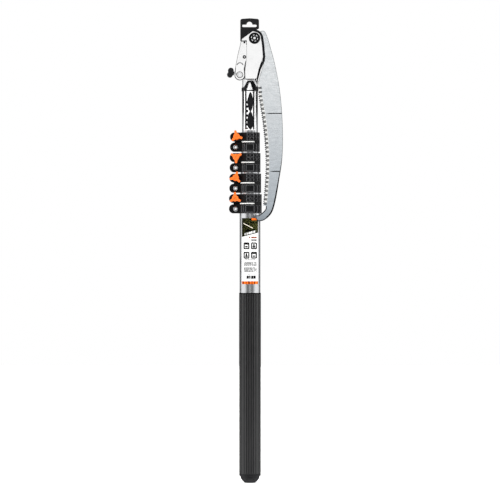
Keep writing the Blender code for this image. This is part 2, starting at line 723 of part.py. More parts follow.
def make_thumb_screw(centre, way, holder, looks):
    turning = body("thumb_screw_axis", centre, holder)
    across = Vector((math.sin(SCREW_TILT), 0, math.cos(SCREW_TILT)))
    middle = Vector(centre) + way * THUMB_CENTRE
    outline = []
    for x, y in arc((0, 0), 1.0, 0, 360, 24)[:-1]:
        waist = 1 - 0.12 * (1 - abs(y)) ** 2
        point = middle + way * (7.1 * waist * x) + across * (11.2 * y)
        outline.append((point.x, point.z))
    wings = plate(outline, SCREW_Y + THUMB_HALF_DEPTH, SCREW_Y - THUMB_HALF_DEPTH)
    hub = rod(5.0, 13.2, 27.6, way, centre, segments=18)
    neck = rod(4.0, 12.2, 14.0, way, centre, segments=16)
    hole = rod(THUMB_STUD_RADIUS + 0.15, 0, THUMB_STUD_TOP + 0.3, way, centre, segments=12)
    piece("thumb_knob", hub, looks["black_plastic"], turning, joined=[wings, neck], cut=[hole])
    stud = rod(THUMB_STUD_RADIUS, -6.2, THUMB_STUD_TOP, way, centre, segments=12)
    piece("thumb_stud", stud, looks["zinc"], turning)


def make_hang_tab(holder, looks):
    outline = rounded(
        [(-20.9, 999.0, 2.5), (-20.9, 952.0, 0), (-14.5, 937.0, 3), (-1.0, 937.0, 3), (-1.0, 968.0, 2)]
        + [(19.4, 977.5, 1.5), (19.4, 999.0, 2.5), (-0.7, 999.8, 0)]
    )
    slot = arc((-14.2, 983.4), 2.6, 90, 270, 5) + arc((11.8, 983.4), 2.6, -90, 90, 5)
    bump = arc((-1.2, 986.0), 6.2, 0, 180, 10)
    slot_cut = plate(slot + bump, 0, -30)
    screw = (TAB_SCREW[0], 0, TAB_SCREW[1])
    hole = rod(1.9, -30, 0, centre=screw, segments=12)
    shape = plate(outline, TAB_BACK, TAB_FRONT)
    piece("hang_tab", shape, looks["black_plastic"], holder, cut=[slot_cut, hole])
    profile = [(0, 23.7), (1.5, 23.7), (1.5, 16.95), (3.4, 16.95), (3.4, 15.6), (2.2, 14.7), (0, 14.7)]
    recess = rod(1.2, 10, 15.8, FORWARD, screw, segments=6)
    piece("hang_tab_screw", turned(profile, FORWARD, screw, segments=14), looks["zinc"], holder, cut=[recess])


def make_looks():
    return {
        "aluminium": material("aluminium", (0.72, 0.73, 0.75), 0.32, 1.0),
        "polished_steel": material("polished_steel", (0.86, 0.87, 0.88), 0.2, 1.0),
        "blade_steel": material("blade_steel", (0.74, 0.76, 0.79), 0.34, 1.0),
        "black_steel": material("black_steel", (0.03, 0.03, 0.032), 0.3, 0.6),
        "zinc": material("zinc", (0.68, 0.69, 0.7), 0.3, 1.0),
        "black_plastic": material("black_plastic", (0.03, 0.03, 0.032), 0.45),
        "orange_plastic": material("orange_plastic", (0.95, 0.2, 0.02), 0.4),
        "rubber": material("rubber", (0.035, 0.035, 0.037), 0.7),
        "label_print": material("label_print", (0.9, 0.9, 0.9), 0.5),
        "decal_print": material("decal_print", (0.03, 0.03, 0.03), 0.4),
    }


def main():
    clear_scene()
    looks = make_looks()
    holder = body("handle")
    make_tube(1, holder, looks["aluminium"])
    make_end_cap(holder, looks["black_plastic"])
    make_grip(holder, looks["rubber"])
    make_label(holder, looks["label_print"])
    make_clamp(1, holder, looks)
    for number in range(2, len(TUBE_RADII) + 1):
        holder = body(f"section_{number}", parent=holder)
        make_tube(number, holder, looks["aluminium"])
        make_plug(number, holder, looks["black_plastic"])
        if number < len(TUBE_RADII):
            make_clamp(number, holder, looks)
    make_ferrule(holder, looks["black_plastic"])
    make_decal(holder, looks["decal_print"])
    make_casting(holder, looks["polished_steel"])
    make_blade(holder, looks)
    make_pivot_bolt(holder, looks)
    make_cover_plate(holder, looks)
    make_lever(holder, looks)
    make_hang_tab(holder, looks)


main()
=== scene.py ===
"""The looks of the telescoping pole saw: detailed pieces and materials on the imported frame.

Shapes are worked out in millimetres in the row frame (Z up the pole, the saw head on the front at -Y),
and MM turns them into metres. Points given as (x, z) are drawn on the front view and extruded along Y.
"""

import functools
import json
import math

import bmesh
import bpy
from mathutils import Matrix, Vector


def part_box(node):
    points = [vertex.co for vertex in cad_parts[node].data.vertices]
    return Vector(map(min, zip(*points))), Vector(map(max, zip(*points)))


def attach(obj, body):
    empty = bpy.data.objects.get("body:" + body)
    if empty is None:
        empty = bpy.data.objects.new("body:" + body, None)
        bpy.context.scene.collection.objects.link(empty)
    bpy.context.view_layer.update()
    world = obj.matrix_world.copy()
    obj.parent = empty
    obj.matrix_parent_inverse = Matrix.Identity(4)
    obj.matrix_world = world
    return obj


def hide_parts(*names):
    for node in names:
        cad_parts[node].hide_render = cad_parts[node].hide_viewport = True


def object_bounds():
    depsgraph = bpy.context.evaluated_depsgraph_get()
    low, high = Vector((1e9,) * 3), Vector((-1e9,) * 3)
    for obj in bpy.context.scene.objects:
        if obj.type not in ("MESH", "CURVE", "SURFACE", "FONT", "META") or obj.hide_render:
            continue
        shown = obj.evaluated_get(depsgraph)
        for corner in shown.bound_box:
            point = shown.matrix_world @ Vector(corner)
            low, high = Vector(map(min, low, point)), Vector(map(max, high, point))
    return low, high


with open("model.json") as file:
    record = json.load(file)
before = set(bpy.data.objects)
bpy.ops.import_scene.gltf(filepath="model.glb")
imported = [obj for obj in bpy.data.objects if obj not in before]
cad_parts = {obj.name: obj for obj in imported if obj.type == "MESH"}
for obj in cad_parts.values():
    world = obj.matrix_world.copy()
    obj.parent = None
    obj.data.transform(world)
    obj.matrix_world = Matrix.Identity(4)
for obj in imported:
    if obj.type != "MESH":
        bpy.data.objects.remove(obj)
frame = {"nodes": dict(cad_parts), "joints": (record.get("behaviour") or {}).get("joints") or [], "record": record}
cad_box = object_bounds()
NODES = frame["nodes"]
BODIES = {node: body for body, nodes in frame["record"]["behaviour"]["bodies"].items() for node in nodes}

MM = 0.001
UP = (0, 0, 1)
BACKWARD = (0, 1, 0)
FORWARD = (0, -1, 0)
TUBES = (1, 2, 3, 4, 5)
CLAMPS = (1, 2, 3, 4)

# Segments of a round shape, the angle from which edges stay crisp, and the slope of a plate's front bevel
FINE = 96
SOFT_CREASE = 32
FLAT = 0
BEVEL_SLOPE = 0.27

# Pole and clamps
TUBE_WALL = 1.2
BORE_GAP = 0.15
KNOB_ANGLES = (92, 74, 270, 103)
END_CAP_GROOVES = 8
GRIP_BORE = 22.45
GRIP_FLUTES = 32
GRIP_BEAD = 3.0
FLUTE_DEPTH = 0.85
FLUTE_STEPS = 16
LABEL_RADIUS = 22.4
LABEL_THICKNESS = 0.18
DECAL_RADIUS = 17.0
DECAL_THICKNESS = 0.15
FERRULE_WALL = 1.15

# Blade: its cutting edge from the hook to the heel as (x, z), and its teeth
CUTTING_EDGE = ((27.2, 597.0), (31.0, 642.0), (32.9, 686.0), (30.6, 732.0), (25.6, 780.0), (20.9, 810.0),
                (17.5, 834.0), (16.9, 854.0))
TOOTH_CROWN = (32.9, 686.0)
TOOTH_SAG = 0.00074
TOOTH_COUNT = 56
TOOTH_PITCH = 4.6
TOOTH_STEPS = 200
GULLET_DEPTH = 2.8
GROUND_BAND = 8.4
FLANK_WIDTH = 0.42
FLANK_SLOPE = 0.3

# Studio: the lens in millimetres, its view in metres, and the tones at each angle away from the camera
LENS = 200
SENSOR = 36
VIEW_HEIGHT = 1.075
VIEW_MIDDLE = 0.5014
FRONT_PLANE = 0.02
STUDIO_TONES = ((0, 2.6), (6, 2.6), (9, 0.26), (42, 0.26), (52, 2.2), (108, 2.1), (122, 0.16), (180, 0.16))


# Outlines


def arc(centre, radius, start, end, steps):
    """Points on an arc, with angles in degrees counted from the first axis towards the second."""
    points = []
    for step in range(steps + 1):
        angle = math.radians(start + (end - start) * step / steps)
        points.append((centre[0] + radius * math.cos(angle), centre[1] + radius * math.sin(angle)))
    return points


def rounded(corners, steps=8):
    """A closed outline from (x, z, radius) corners, each rounded by its own radius."""
    points = []
    for index, (x, z, radius) in enumerate(corners):
        corner = Vector((x, z))
        if radius == 0:
            points.append((x, z))
            continue
        before = (Vector(corners[index - 1][:2]) - corner).normalized()
        after = (Vector(corners[(index + 1) % len(corners)][:2]) - corner).normalized()
        half = math.acos(max(-1.0, min(1.0, before.dot(after)))) / 2
        centre = corner + (before + after).normalized() * (radius / math.sin(half))
        first = corner + before * (radius / math.tan(half)) - centre
        last = corner + after * (radius / math.tan(half)) - centre
        start = math.atan2(first.y, first.x)
        turn = (math.atan2(last.y, last.x) - start + math.pi) % (2 * math.pi) - math.pi
        for step in range(steps + 1):
            angle = start + turn * step / steps
            points.append((centre.x + radius * math.cos(angle), centre.y + radius * math.sin(angle)))
    return points


def curve_through(points, steps):
    """A smooth curve through the points (Catmull-Rom), with the given steps between neighbours."""
    ends = [points[0], *points, points[-1]]
    curve = []
    for p0, p1, p2, p3 in zip(ends, ends[1:], ends[2:], ends[3:]):
        for step in range(steps):
            t = step / steps
            weights = (
                -0.5 * t + t**2 - 0.5 * t**3,
                1 - 2.5 * t**2 + 1.5 * t**3,
                0.5 * t + 2 * t**2 - 1.5 * t**3,
                -0.5 * t**2 + 0.5 * t**3,
            )
            near = (p0, p1, p2, p3)
            curve.append(tuple(sum(w * p[axis] for w, p in zip(weights, near)) for axis in range(len(p1))))
    curve.append(tuple(points[-1]))
    return curve


def spaced(curve, count):
    """Places evenly spaced along a curve, each as (point, direction of the curve there)."""
    lengths = [0.0]
    for a, b in zip(curve, curve[1:]):
        lengths.append(lengths[-1] + math.dist(a, b))
    places = []
    index = 0
    for step in range(count + 1):
        reach = lengths[-1] * step / count
        while index < len(curve) - 2 and lengths[index + 1] < reach:
            index += 1
        share = (reach - lengths[index]) / (lengths[index + 1] - lengths[index])
        start = Vector(curve[index])
        end = Vector(curve[index + 1])
        places.append((start.lerp(end, share), (end - start).normalized()))
    return places


def mixed(start, end, share):
    return start + (end - start) * share


# Solids, as bmeshes in millimetres


def turned(profile, direction=UP, centre=(0, 0, 0), segments=FINE):
    """A solid of revolution from (radius, height) points that end on the axis, or else close as a ring."""
    mesh = bmesh.new()
    rings = []
    for radius, height in profile:
        if radius == 0:
            rings.append([mesh.verts.new((0, 0, height))])
            continue
        circle = arc((0, 0), radius, 0, 360, segments)[:-1]
        rings.append([mesh.verts.new((x, y, height)) for x, y in circle])
    bands = list(zip(rings, rings[1:]))
    if profile[0][0] > 0:
        bands.append((rings[-1], rings[0]))
    for lower, upper in bands:
        for k in range(segments):
            after = (k + 1) % segments
            corners = (lower[k % len(lower)], lower[after % len(lower)])
            corners += (upper[after % len(upper)], upper[k % len(upper)])
            mesh.faces.new(list(dict.fromkeys(corners)))
    turn = Vector(UP).rotation_difference(Vector(direction)).to_matrix().to_4x4()
    bmesh.ops.transform(mesh, matrix=Matrix.Translation(centre) @ turn, verts=mesh.verts)
    return mesh


def sleeve(inner, outer, start, end):
    """The profile of a plain ring, for turned."""
    return [(inner, start), (outer, start), (outer, end), (inner, end)]


def rod(radius, start, end, direction=BACKWARD, centre=(0, 0, 0), segments=32):
    return turned([(0, start), (radius, start), (radius, end), (0, end)], direction, centre, segments)


def through_hole(radius, place, segments=32):
    """A rod along Y that bores through the saw head at a place."""
    return rod(radius, -40, 0, centre=(place.x, 0, place.z), segments=segments)


def stacked(loops):
    """A solid skinned over loops of equal length, with flat ends."""
    mesh = bmesh.new()
    rings = [[mesh.verts.new(point) for point in loop] for loop in loops]
    mesh.faces.new(rings[0])
    mesh.faces.new(rings[-1])
    for lower, upper in zip(rings, rings[1:]):
        for k in range(len(lower)):
            after = (k + 1) % len(lower)
            mesh.faces.new((lower[k], lower[after], upper[after], upper[k]))
    return mesh


def plate(outline, back, front):
    return stacked([[(x, y, z) for x, z in outline] for y in (back, front)])


def chamfered(outline, back, front, width):
    """A plate whose front edge slopes back, over a width that depends on the place: width(x, z)."""
    area = sum(x0 * z1 - x1 * z0 for (x0, z0), (x1, z1) in zip(outline, outline[1:] + outline[:1]))
    inward = 1 if area > 0 else -1
    edge, inset = [], []
    for index, (x, z) in enumerate(outline):
        before = Vector(outline[index - 1])
        after = Vector(outline[(index + 1) % len(outline)])
        along = (after - before).normalized()
        reach = width(x, z)
        edge.append((x, front + BEVEL_SLOPE * reach, z))
        inset.append((x - along.y * reach * inward, front, z + along.x * reach * inward))
    mesh = stacked([[(x, back, z) for x, z in outline], edge, inset])
    bmesh.ops.remove_doubles(mesh, verts=mesh.verts, dist=0.001)
    return mesh


def block(x, y, z):
    corners = [(x[0], y[0]), (x[1], y[0]), (x[1], y[1]), (x[0], y[1])]
    return stacked([[(a, b, height) for a, b in corners] for height in z])


def sector(inner, outer, start, end, low, high, draft=0.0):
    """A curved block between two radii, two angles from the front (positive to the right) and two heights.
    With draft, it is that much smaller all round at the inner radius."""
    steps = max(2, int(abs(end - start) / 4))
    turn = math.degrees(draft / outer)
    corners = ((inner, turn, low + draft), (inner, turn, high - draft), (outer, 0, high), (outer, 0, low))
    loops = []
    for step in range(steps + 1):
        loop = []
        for radius, shrink, z in corners:
            angle = math.radians(start + shrink + (end - start - 2 * shrink) * step / steps - 90)
            loop.append((radius * math.cos(angle), radius * math.sin(angle), z))
        loops.append(loop)
    return stacked(loops)


# Objects


def as_object(name, shape):
    bmesh.ops.recalc_face_normals(shape, faces=shape.faces)
    mesh = bpy.data.meshes.new(name)
    shape.to_mesh(mesh)
    shape.free()
    obj = bpy.data.objects.new(name, mesh)
    bpy.context.scene.collection.objects.link(obj)
    return obj


def combine(obj, shape, operation):
    tool = as_object("tool", shape)
    modifier = obj.modifiers.new(operation, "BOOLEAN")
    modifier.operation = operation
    modifier.solver = "EXACT"
    modifier.object = tool
    bpy.context.view_layer.update()
    graph = bpy.context.evaluated_depsgraph_get()
    result = bpy.data.meshes.new_from_object(obj.evaluated_get(graph))
    obj.modifiers.clear()
    obj.data = result
    bpy.data.objects.remove(tool, do_unlink=True)


def bevelled(obj, width, segments=2, angle=40):
    modifier = obj.modifiers.new("bevel", "BEVEL")
    modifier.width = width * MM
    modifier.segments = segments
    modifier.limit_method = "ANGLE"
    modifier.angle_limit = math.radians(angle)
    modifier.harden_normals = True


def piece(name, shape, look, node, joined=(), cut=(), kept=(), bevel=0.0, crease=SOFT_CREASE, replaces=True):
    """A detailed piece on the body of a CAD node, which it replaces or adds to. Edges sharper than crease
    stay crisp."""
    obj = as_object(name, shape)
    for operation, shapes in (("UNION", joined), ("DIFFERENCE", cut), ("INTERSECT", kept)):
        for extra in shapes:
            combine(obj, extra, operation)
    mesh = obj.data
    mesh.transform(Matrix.Scale(MM, 4))
    mesh.materials.clear()
    mesh.materials.append(look)
    if crease == FLAT:
        mesh.shade_flat()
    else:
        mesh.shade_smooth()
        mesh.set_sharp_from_angle(angle=math.radians(crease))
    if bevel:
        bevelled(obj, bevel)
    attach(obj, BODIES[node])
    if replaces:
        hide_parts(node)
    return obj


def second_look(obj, look, chosen):
    """Gives faces a second material where chosen(centre in millimetres, normal) is true."""
    obj.data.materials.append(look)
    for face in obj.data.polygons:
        if chosen(face.center / MM, face.normal):
            face.material_index = 1


def darken_bevel(obj, look, chosen):
    """Gives the sloping front bevel of a plate a second, dark material as a painted dark reflection, at the places
    (x, z) that are chosen.
    """
    second_look(obj, look, lambda centre, normal: -0.99 < normal.y < -0.9 and chosen(centre.x, centre.z))


def keep_node(node, look, bevel=0.2):
    """A CAD node whose shape is right gets crisp, slightly worn edges and a material."""
    obj = NODES[node]
    mesh = obj.data
    if "custom_normal" in mesh.attributes:
        mesh.attributes.remove(mesh.attributes["custom_normal"])
    mesh.polygons.foreach_set("use_smooth", [True] * len(mesh.polygons))
    mesh.materials.clear()
    mesh.materials.append(look)
    weld = obj.modifiers.new("weld", "WELD")
    weld.merge_threshold = 1e-6
    flat = obj.modifiers.new("flat faces", "DECIMATE")
    flat.decimate_type = "DISSOLVE"
    flat.angle_limit = math.radians(0.6)
    bevelled(obj, bevel)


def limits(node):
    """Lowest and highest corner of a CAD node, in millimetres."""
    low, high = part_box(node)
    return low / MM, high / MM


def middle(node):
    """The middle of a CAD node's box, in millimetres."""
    low, high = limits(node)
    return (low + high) / 2


# Materials


class Graph:
    """A short way to write shader nodes in a tree."""

    def __init__(self, tree):
        self.tree = tree

    def add(self, kind, ins=None, **settings):
        node = self.tree.nodes.new(kind)
        for key, value in settings.items():
            setattr(node, key, value)
        for key, value in (ins or {}).items():
            if isinstance(value, bpy.types.NodeSocket):
                self.tree.links.new(value, node.inputs[key])
            else:
                node.inputs[key].default_value = value
        return node

    def math(self, operation, a, b=0.0):
        return self.add("ShaderNodeMath", operation=operation, ins={0: a, 1: b}).outputs[0]

    def times(self, *values):
        return functools.reduce(lambda a, b: self.math("MULTIPLY", a, b), values)

    def most(self, *values):
        return functools.reduce(lambda a, b: self.math("MAXIMUM", a, b), values)

    def ramp(self, value, low, high, out_low=0.0, out_high=1.0):
        ins = {"Value": value, "From Min": low, "From Max": high, "To Min": out_low, "To Max": out_high}
        return self.add("ShaderNodeMapRange", ins=ins).outputs[0]

    def mix(self, amount, a, b):
        """Colour a where amount is 0, and b where it is 1."""
        node = self.add("ShaderNodeMix", data_type="RGBA")
        for socket, value in ((node.inputs[0], amount), (node.inputs[6], a), (node.inputs[7], b)):
            if isinstance(value, bpy.types.NodeSocket):
                self.tree.links.new(value, socket)
            elif socket == node.inputs[0]:
                socket.default_value = value
            else:
                socket.default_value = (*value, 1.0)
        return node.outputs[2]

    def paint(self, base, *layers):
        """Lays (mask, colour) layers over a colour, one after another."""
        for mask, colour in layers:
            base = self.mix(mask, base, colour)
        return base


class Look(Graph):
    """A material. Positions in it are the row frame's, in millimetres."""

    def __init__(self, name, roughness=0.5, metallic=0.0, gloss=0.5):
        self.material = bpy.data.materials.new(name)
        self.material.use_nodes = True
        super().__init__(self.material.node_tree)
        self.surface = self.tree.nodes["Principled BSDF"]
        self.surface.inputs["Roughness"].default_value = roughness
        self.surface.inputs["Metallic"].default_value = metallic
        self.surface.inputs["Specular IOR Level"].default_value = gloss
        place = self.add("ShaderNodeTexCoord").outputs["Object"]
        ins = {0: place, "Scale": 1 / MM}
        self.place = self.add("ShaderNodeVectorMath", operation="SCALE", ins=ins).outputs[0]
        self.x, self.y, self.z = self.add("ShaderNodeSeparateXYZ", ins={0: self.place}).outputs

    def noise(self, scale, stretch=(1, 1, 1), detail=3.0, rough=0.5):
        """Noise with features of about 1 / scale millimetres, drawn out where stretch is below 1."""
        where = self.add("ShaderNodeMapping", ins={"Vector": self.place, "Scale": stretch}).outputs[0]
        ins = {"Vector": where, "Scale": scale, "Detail": detail, "Roughness": rough}
        return self.add("ShaderNodeTexNoise", ins=ins).outputs[0]

    def between(self, value, low, high, soft=0.15):
        """1 where the value lies between two limits, with soft edges."""
        rise = self.ramp(value, low - soft, low + soft)
        fall = self.ramp(value, high - soft, high + soft, 1.0, 0.0)
        return self.times(rise, fall)

    def rounded_box(self, a, b, centre, half, radius):
        """Distance to the outline of a rounded rectangle on the axes a and b, negative inside."""
        outside = []
        for value, middle_value, reach in zip((a, b), centre, half):
            off = self.math("ABSOLUTE", self.math("SUBTRACT", value, middle_value))
            outside.append(self.math("SUBTRACT", off, reach - radius))
        squares = [self.math("POWER", self.most(value, 0.0), 2.0) for value in outside]
        corner = self.math("SQRT", self.math("ADD", *squares))
        inner = self.math("MINIMUM", self.most(*outside), 0.0)
        return self.math("SUBTRACT", self.math("ADD", corner, inner), radius)

    def rect(self, x, z):
        """1 inside the (low, high) limits along X and Z."""
        return self.times(self.between(self.x, *x), self.between(self.z, *z))

    def set(self, socket, value):
        self.tree.links.new(value, self.surface.inputs[socket])

    def glow(self, colour, strength):
        self.surface.inputs["Emission Color"].default_value = (*colour, 1)
        self.surface.inputs["Emission Strength"].default_value = strength

    def bump(self, height, depth):
        """Surface relief, with its depth in millimetres."""
        node = self.add("ShaderNodeBump", ins={"Height": height, "Distance": depth * MM, "Strength": 1.0})
        self.set("Normal", node.outputs[0])


def metal(name, colour, roughness, stretch=(1, 1, 0.03), depth=0.004, wear=0.12, print_and_light_mask=None):
    """Metal with fine drawn or ground lines, faint handling marks and a little colour drift."""
    graph = Look(name, roughness, 1.0)
    lines = graph.noise(2.2, stretch, 4.0, 0.6)
    marks = graph.noise(0.05, (1, 1, 0.6), 3.0, 0.55)
    dull = tuple(channel * (1 - wear) for channel in colour)
    base = graph.mix(graph.ramp(marks, 0.3, 0.7), dull, colour)
    # Print, and on the spigot painted light: a white ground and black ink laid over the metal
    if print_and_light_mask:
        ground, ink = print_and_light_mask(graph)
        base = graph.paint(base, (ground, (0.88, 0.88, 0.88)), (ink, (0.006, 0.006, 0.007)))
        graph.set("Metallic", graph.ramp(graph.most(ground, ink), 0.0, 1.0, 1.0, 0.0))
        graph.set("Specular IOR Level", graph.ramp(ink, 0.0, 1.0, 0.5, 0.0))
    graph.set("Base Color", base)
    spread = graph.ramp(lines, 0.25, 0.75, roughness * 0.75, roughness * 1.3)
    graph.set("Roughness", graph.math("ADD", spread, graph.ramp(marks, 0.3, 0.7, 0.0, 0.05)))
    graph.bump(lines, depth)
    return graph.material


def plastic(name, colour, roughness, grain=0.02, drift=0.15, gloss=0.4, glow=0.0):
    """Moulded plastic: a fine spark texture and slight flow marks, a shade lighter."""
    graph = Look(name, roughness, gloss=gloss)
    fine = graph.noise(5.0, detail=2.0)
    flow = graph.noise(0.08, detail=3.0)
    light = tuple(min(1.0, channel * (1 + drift) + 0.004) for channel in colour)
    graph.set("Base Color", graph.mix(graph.ramp(flow, 0.3, 0.7), colour, light))
    graph.set("Roughness", graph.ramp(fine, 0.2, 0.8, roughness * 0.85, roughness * 1.15))
    graph.bump(fine, grain)
    # Any glow is painted light: emission on a part that is no lamp, to brighten it
    if glow:
        graph.glow((1, 1, 0.98), glow)
    return graph.material


def make_looks():
    tube = ((0.41, 0.415, 0.425), 0.3)
    cast = ((0.56, 0.565, 0.57), 0.45, (1, 1, 1), 0.01)
    return {
        "tube": metal("anodised tube", *tube),
        "tube_print": metal("anodised tube with marks", *tube, print_and_light_mask=head_tube_print),
        # The casting carries painted light: white on the spigot in the neck ring's window
        "cast": metal("tumbled casting", *cast, print_and_light_mask=spigot_painted_light),
        "polished": metal("polished steel", (0.41, 0.41, 0.41), 0.1, (0.05, 1, 1), 0.0005, 0.06),
        "zinc": metal("zinc plate", (0.44, 0.445, 0.45), 0.14, (1, 1, 1), 0.001),
        # Black oxide steel for the black parts, and also painted dark reflection on plate bevels and on the lever
        # pin's ring
        "black_steel": plastic("black oxide steel", (0.004, 0.004, 0.005), 0.45, 0.004, gloss=0.05),
        "black": plastic("black nylon", (0.008, 0.008, 0.009), 0.5, 0.012, gloss=0.12),
        "collar": plastic("clamp nylon", (0.004, 0.004, 0.0045), 0.5, 0.012, gloss=0.08),
        # Painted highlight: a lighter, glossier grey for the sloping sides of the clamp pockets
        "collar_rim": plastic("scuffed clamp nylon", (0.075, 0.075, 0.08), 0.4, 0.012, gloss=0.5),
        "gloss": plastic("glossy black plastic", (0.004, 0.004, 0.005), 0.3, 0.003, gloss=0.08),
        "orange": plastic("orange nylon", (0.80, 0.15, 0.012), 0.45, 0.02, 0.06, gloss=0.3),
        # The white nylon glows a little: painted light that keeps the liner in the clamp slot white in its shade
        "white": plastic("white nylon", (0.86, 0.86, 0.84), 0.5, 0.01, 0.04, glow=0.5),
        "grip": grip_look(),
        "blade": blade_look(),
        "label": label_look(),
        "decal": plastic("printed ornament", (0.008, 0.008, 0.009), 0.4, 0.002, gloss=0.05),
    }


def head_tube_print(graph):
    """Printed on the head tube: (white ground, black ink). The ink is a toothed line on the left of the
    ornament, a plain line on either side of it, and dark edges beside its upper half."""
    low, high = limits("neck_decal")
    front = graph.between(graph.y, -40, 0)
    off = graph.math("ABSOLUTE", graph.x)
    rows = graph.between(graph.math("FRACT", graph.math("DIVIDE", graph.z, 9.6)), 0.08, 0.66, 0.03)
    teeth = graph.times(graph.rect((-8.0, -4.0), (low.z + 2, high.z - 14)), rows)
    sides = graph.most(graph.between(graph.x, -10.8, -7.2), graph.between(graph.x, 6.4, 9.4))
    lines = graph.times(sides, graph.between(graph.z, low.z + 1, high.z + 6))
    edges = graph.times(graph.between(off, 12.7, 18.0), graph.ramp(graph.z, high.z - 78, high.z - 40))
    edges = graph.times(edges, graph.between(graph.z, low.z, high.z + 6))
    ground = graph.between(graph.z, low.z - 1, limits("neck_ferrule")[1].z)
    ground = graph.times(graph.between(off, -1, 12.7), ground, front)
    return ground, graph.times(graph.most(teeth, lines, edges), front)


def spigot_painted_light(graph):
    """Painted light: white on the front of the spigot where it shows through the window of the neck ring, lifting
    the ferrule's shadow there.
    """
    low, high = limits("neck_ferrule")
    return graph.times(graph.rect((-9, 8), (low.z, high.z)), graph.between(graph.y, -40, 0)), 0.0


def grip_look():
    """Rubber with its grooves painted near black, as dirt and painted shade, more strongly towards the top of the
    sleeve, and a dark bead at the top as painted shade.
    """
    graph = Look("grip rubber", 0.36)
    low, high = limits("grip_sleeve")
    wave = graph.math("COSINE", graph.times(graph.math("ARCTAN2", graph.y, graph.x), float(GRIP_FLUTES)))
    upper = graph.ramp(graph.z, low.z + 60, high.z - 110, 0.78, 1.0)
    groove = graph.times(graph.ramp(wave, -0.1, 0.5, 1.0, 0.0), upper)
    dark = graph.most(groove, graph.ramp(graph.z, high.z - 2.6, high.z - 2.0))
    fine = graph.noise(5.0, detail=2.0)
    crest = graph.mix(graph.ramp(graph.noise(0.08), 0.3, 0.7), (0.028, 0.028, 0.029), (0.033, 0.033, 0.034))
    # Painted shade and dirt in the grooves, and painted shade on the top bead
    graph.set("Base Color", graph.mix(dark, crest, (0.001, 0.001, 0.001)))
    graph.set("Specular IOR Level", graph.ramp(dark, 0.0, 1.0, 0.4, 0.0))
    graph.set("Roughness", graph.ramp(fine, 0.2, 0.8, 0.3, 0.42))
    graph.bump(fine, 0.01)
    return graph.material


def blade_look():
    """Ground blade steel: fine lines across it, a painted reflection from a light top to a darker tip, painted
    shade at the hook, random cloudy oxide and speckle, a bright band with dark tips along the teeth, and two dark
    lines across it."""
    graph = Look("ground blade steel", 0.2, 1.0)
    low, high = limits("saw_blade")
    lines = graph.noise(1.6, (0.05, 1, 1), 4.0, 0.6)
    clouds = graph.noise(0.12, detail=5.0, rough=0.65)
    speckle = graph.noise(0.5, detail=3.0, rough=0.7)
    off_crown = graph.math("SUBTRACT", graph.z, TOOTH_CROWN[1])
    sag = graph.times(off_crown, off_crown, TOOTH_SAG)
    inward = graph.math("ADD", graph.math("SUBTRACT", graph.x, TOOTH_CROWN[0]), sag)
    above_hook = graph.ramp(graph.z, CUTTING_EDGE[0][1] + 2, CUTTING_EDGE[0][1] + 8)
    ground = graph.between(inward, GULLET_DEPTH, GROUND_BAND, 1.0)
    tips = graph.ramp(inward, 2.0, GULLET_DEPTH + 0.4, 1.0, 0.0)
    # Two dark lines across the blade, away from the teeth
    cross_lines = []
    for share in (0.565, 0.262):
        height = low.z + share * (high.z - low.z)
        cross_lines.append(graph.between(graph.z, height - 1.0, height + 1.2))
    off_teeth = graph.ramp(inward, GROUND_BAND, GROUND_BAND + 8.0)
    base = graph.paint(
        (0.175, 0.195, 0.215),
        # Painted reflection: lighter towards the top of the blade, darker towards the tip
        (graph.ramp(graph.z, low.z, high.z - 60), (0.43, 0.44, 0.445)),
        # Painted shade: darker again at the hook
        (graph.ramp(graph.z, low.z, low.z + 34, 0.45, 0.0), (0.05, 0.06, 0.07)),
        (graph.ramp(clouds, 0.4, 0.65, 0.0, 0.22), (0.22, 0.245, 0.26)),
        (graph.ramp(speckle, 0.45, 0.7, 0.0, 0.4), (0.17, 0.185, 0.195)),
        (graph.times(ground, above_hook), (0.44, 0.44, 0.43)),
        (graph.times(tips, above_hook), (0.03, 0.032, 0.035)),
        (graph.times(graph.most(*cross_lines), off_teeth), (0.012, 0.013, 0.015)),
    )
    graph.set("Base Color", base)
    graph.set("Roughness", graph.ramp(lines, 0.25, 0.75, 0.13, 0.24))
    graph.bump(lines, 0.0008)
    return graph.material


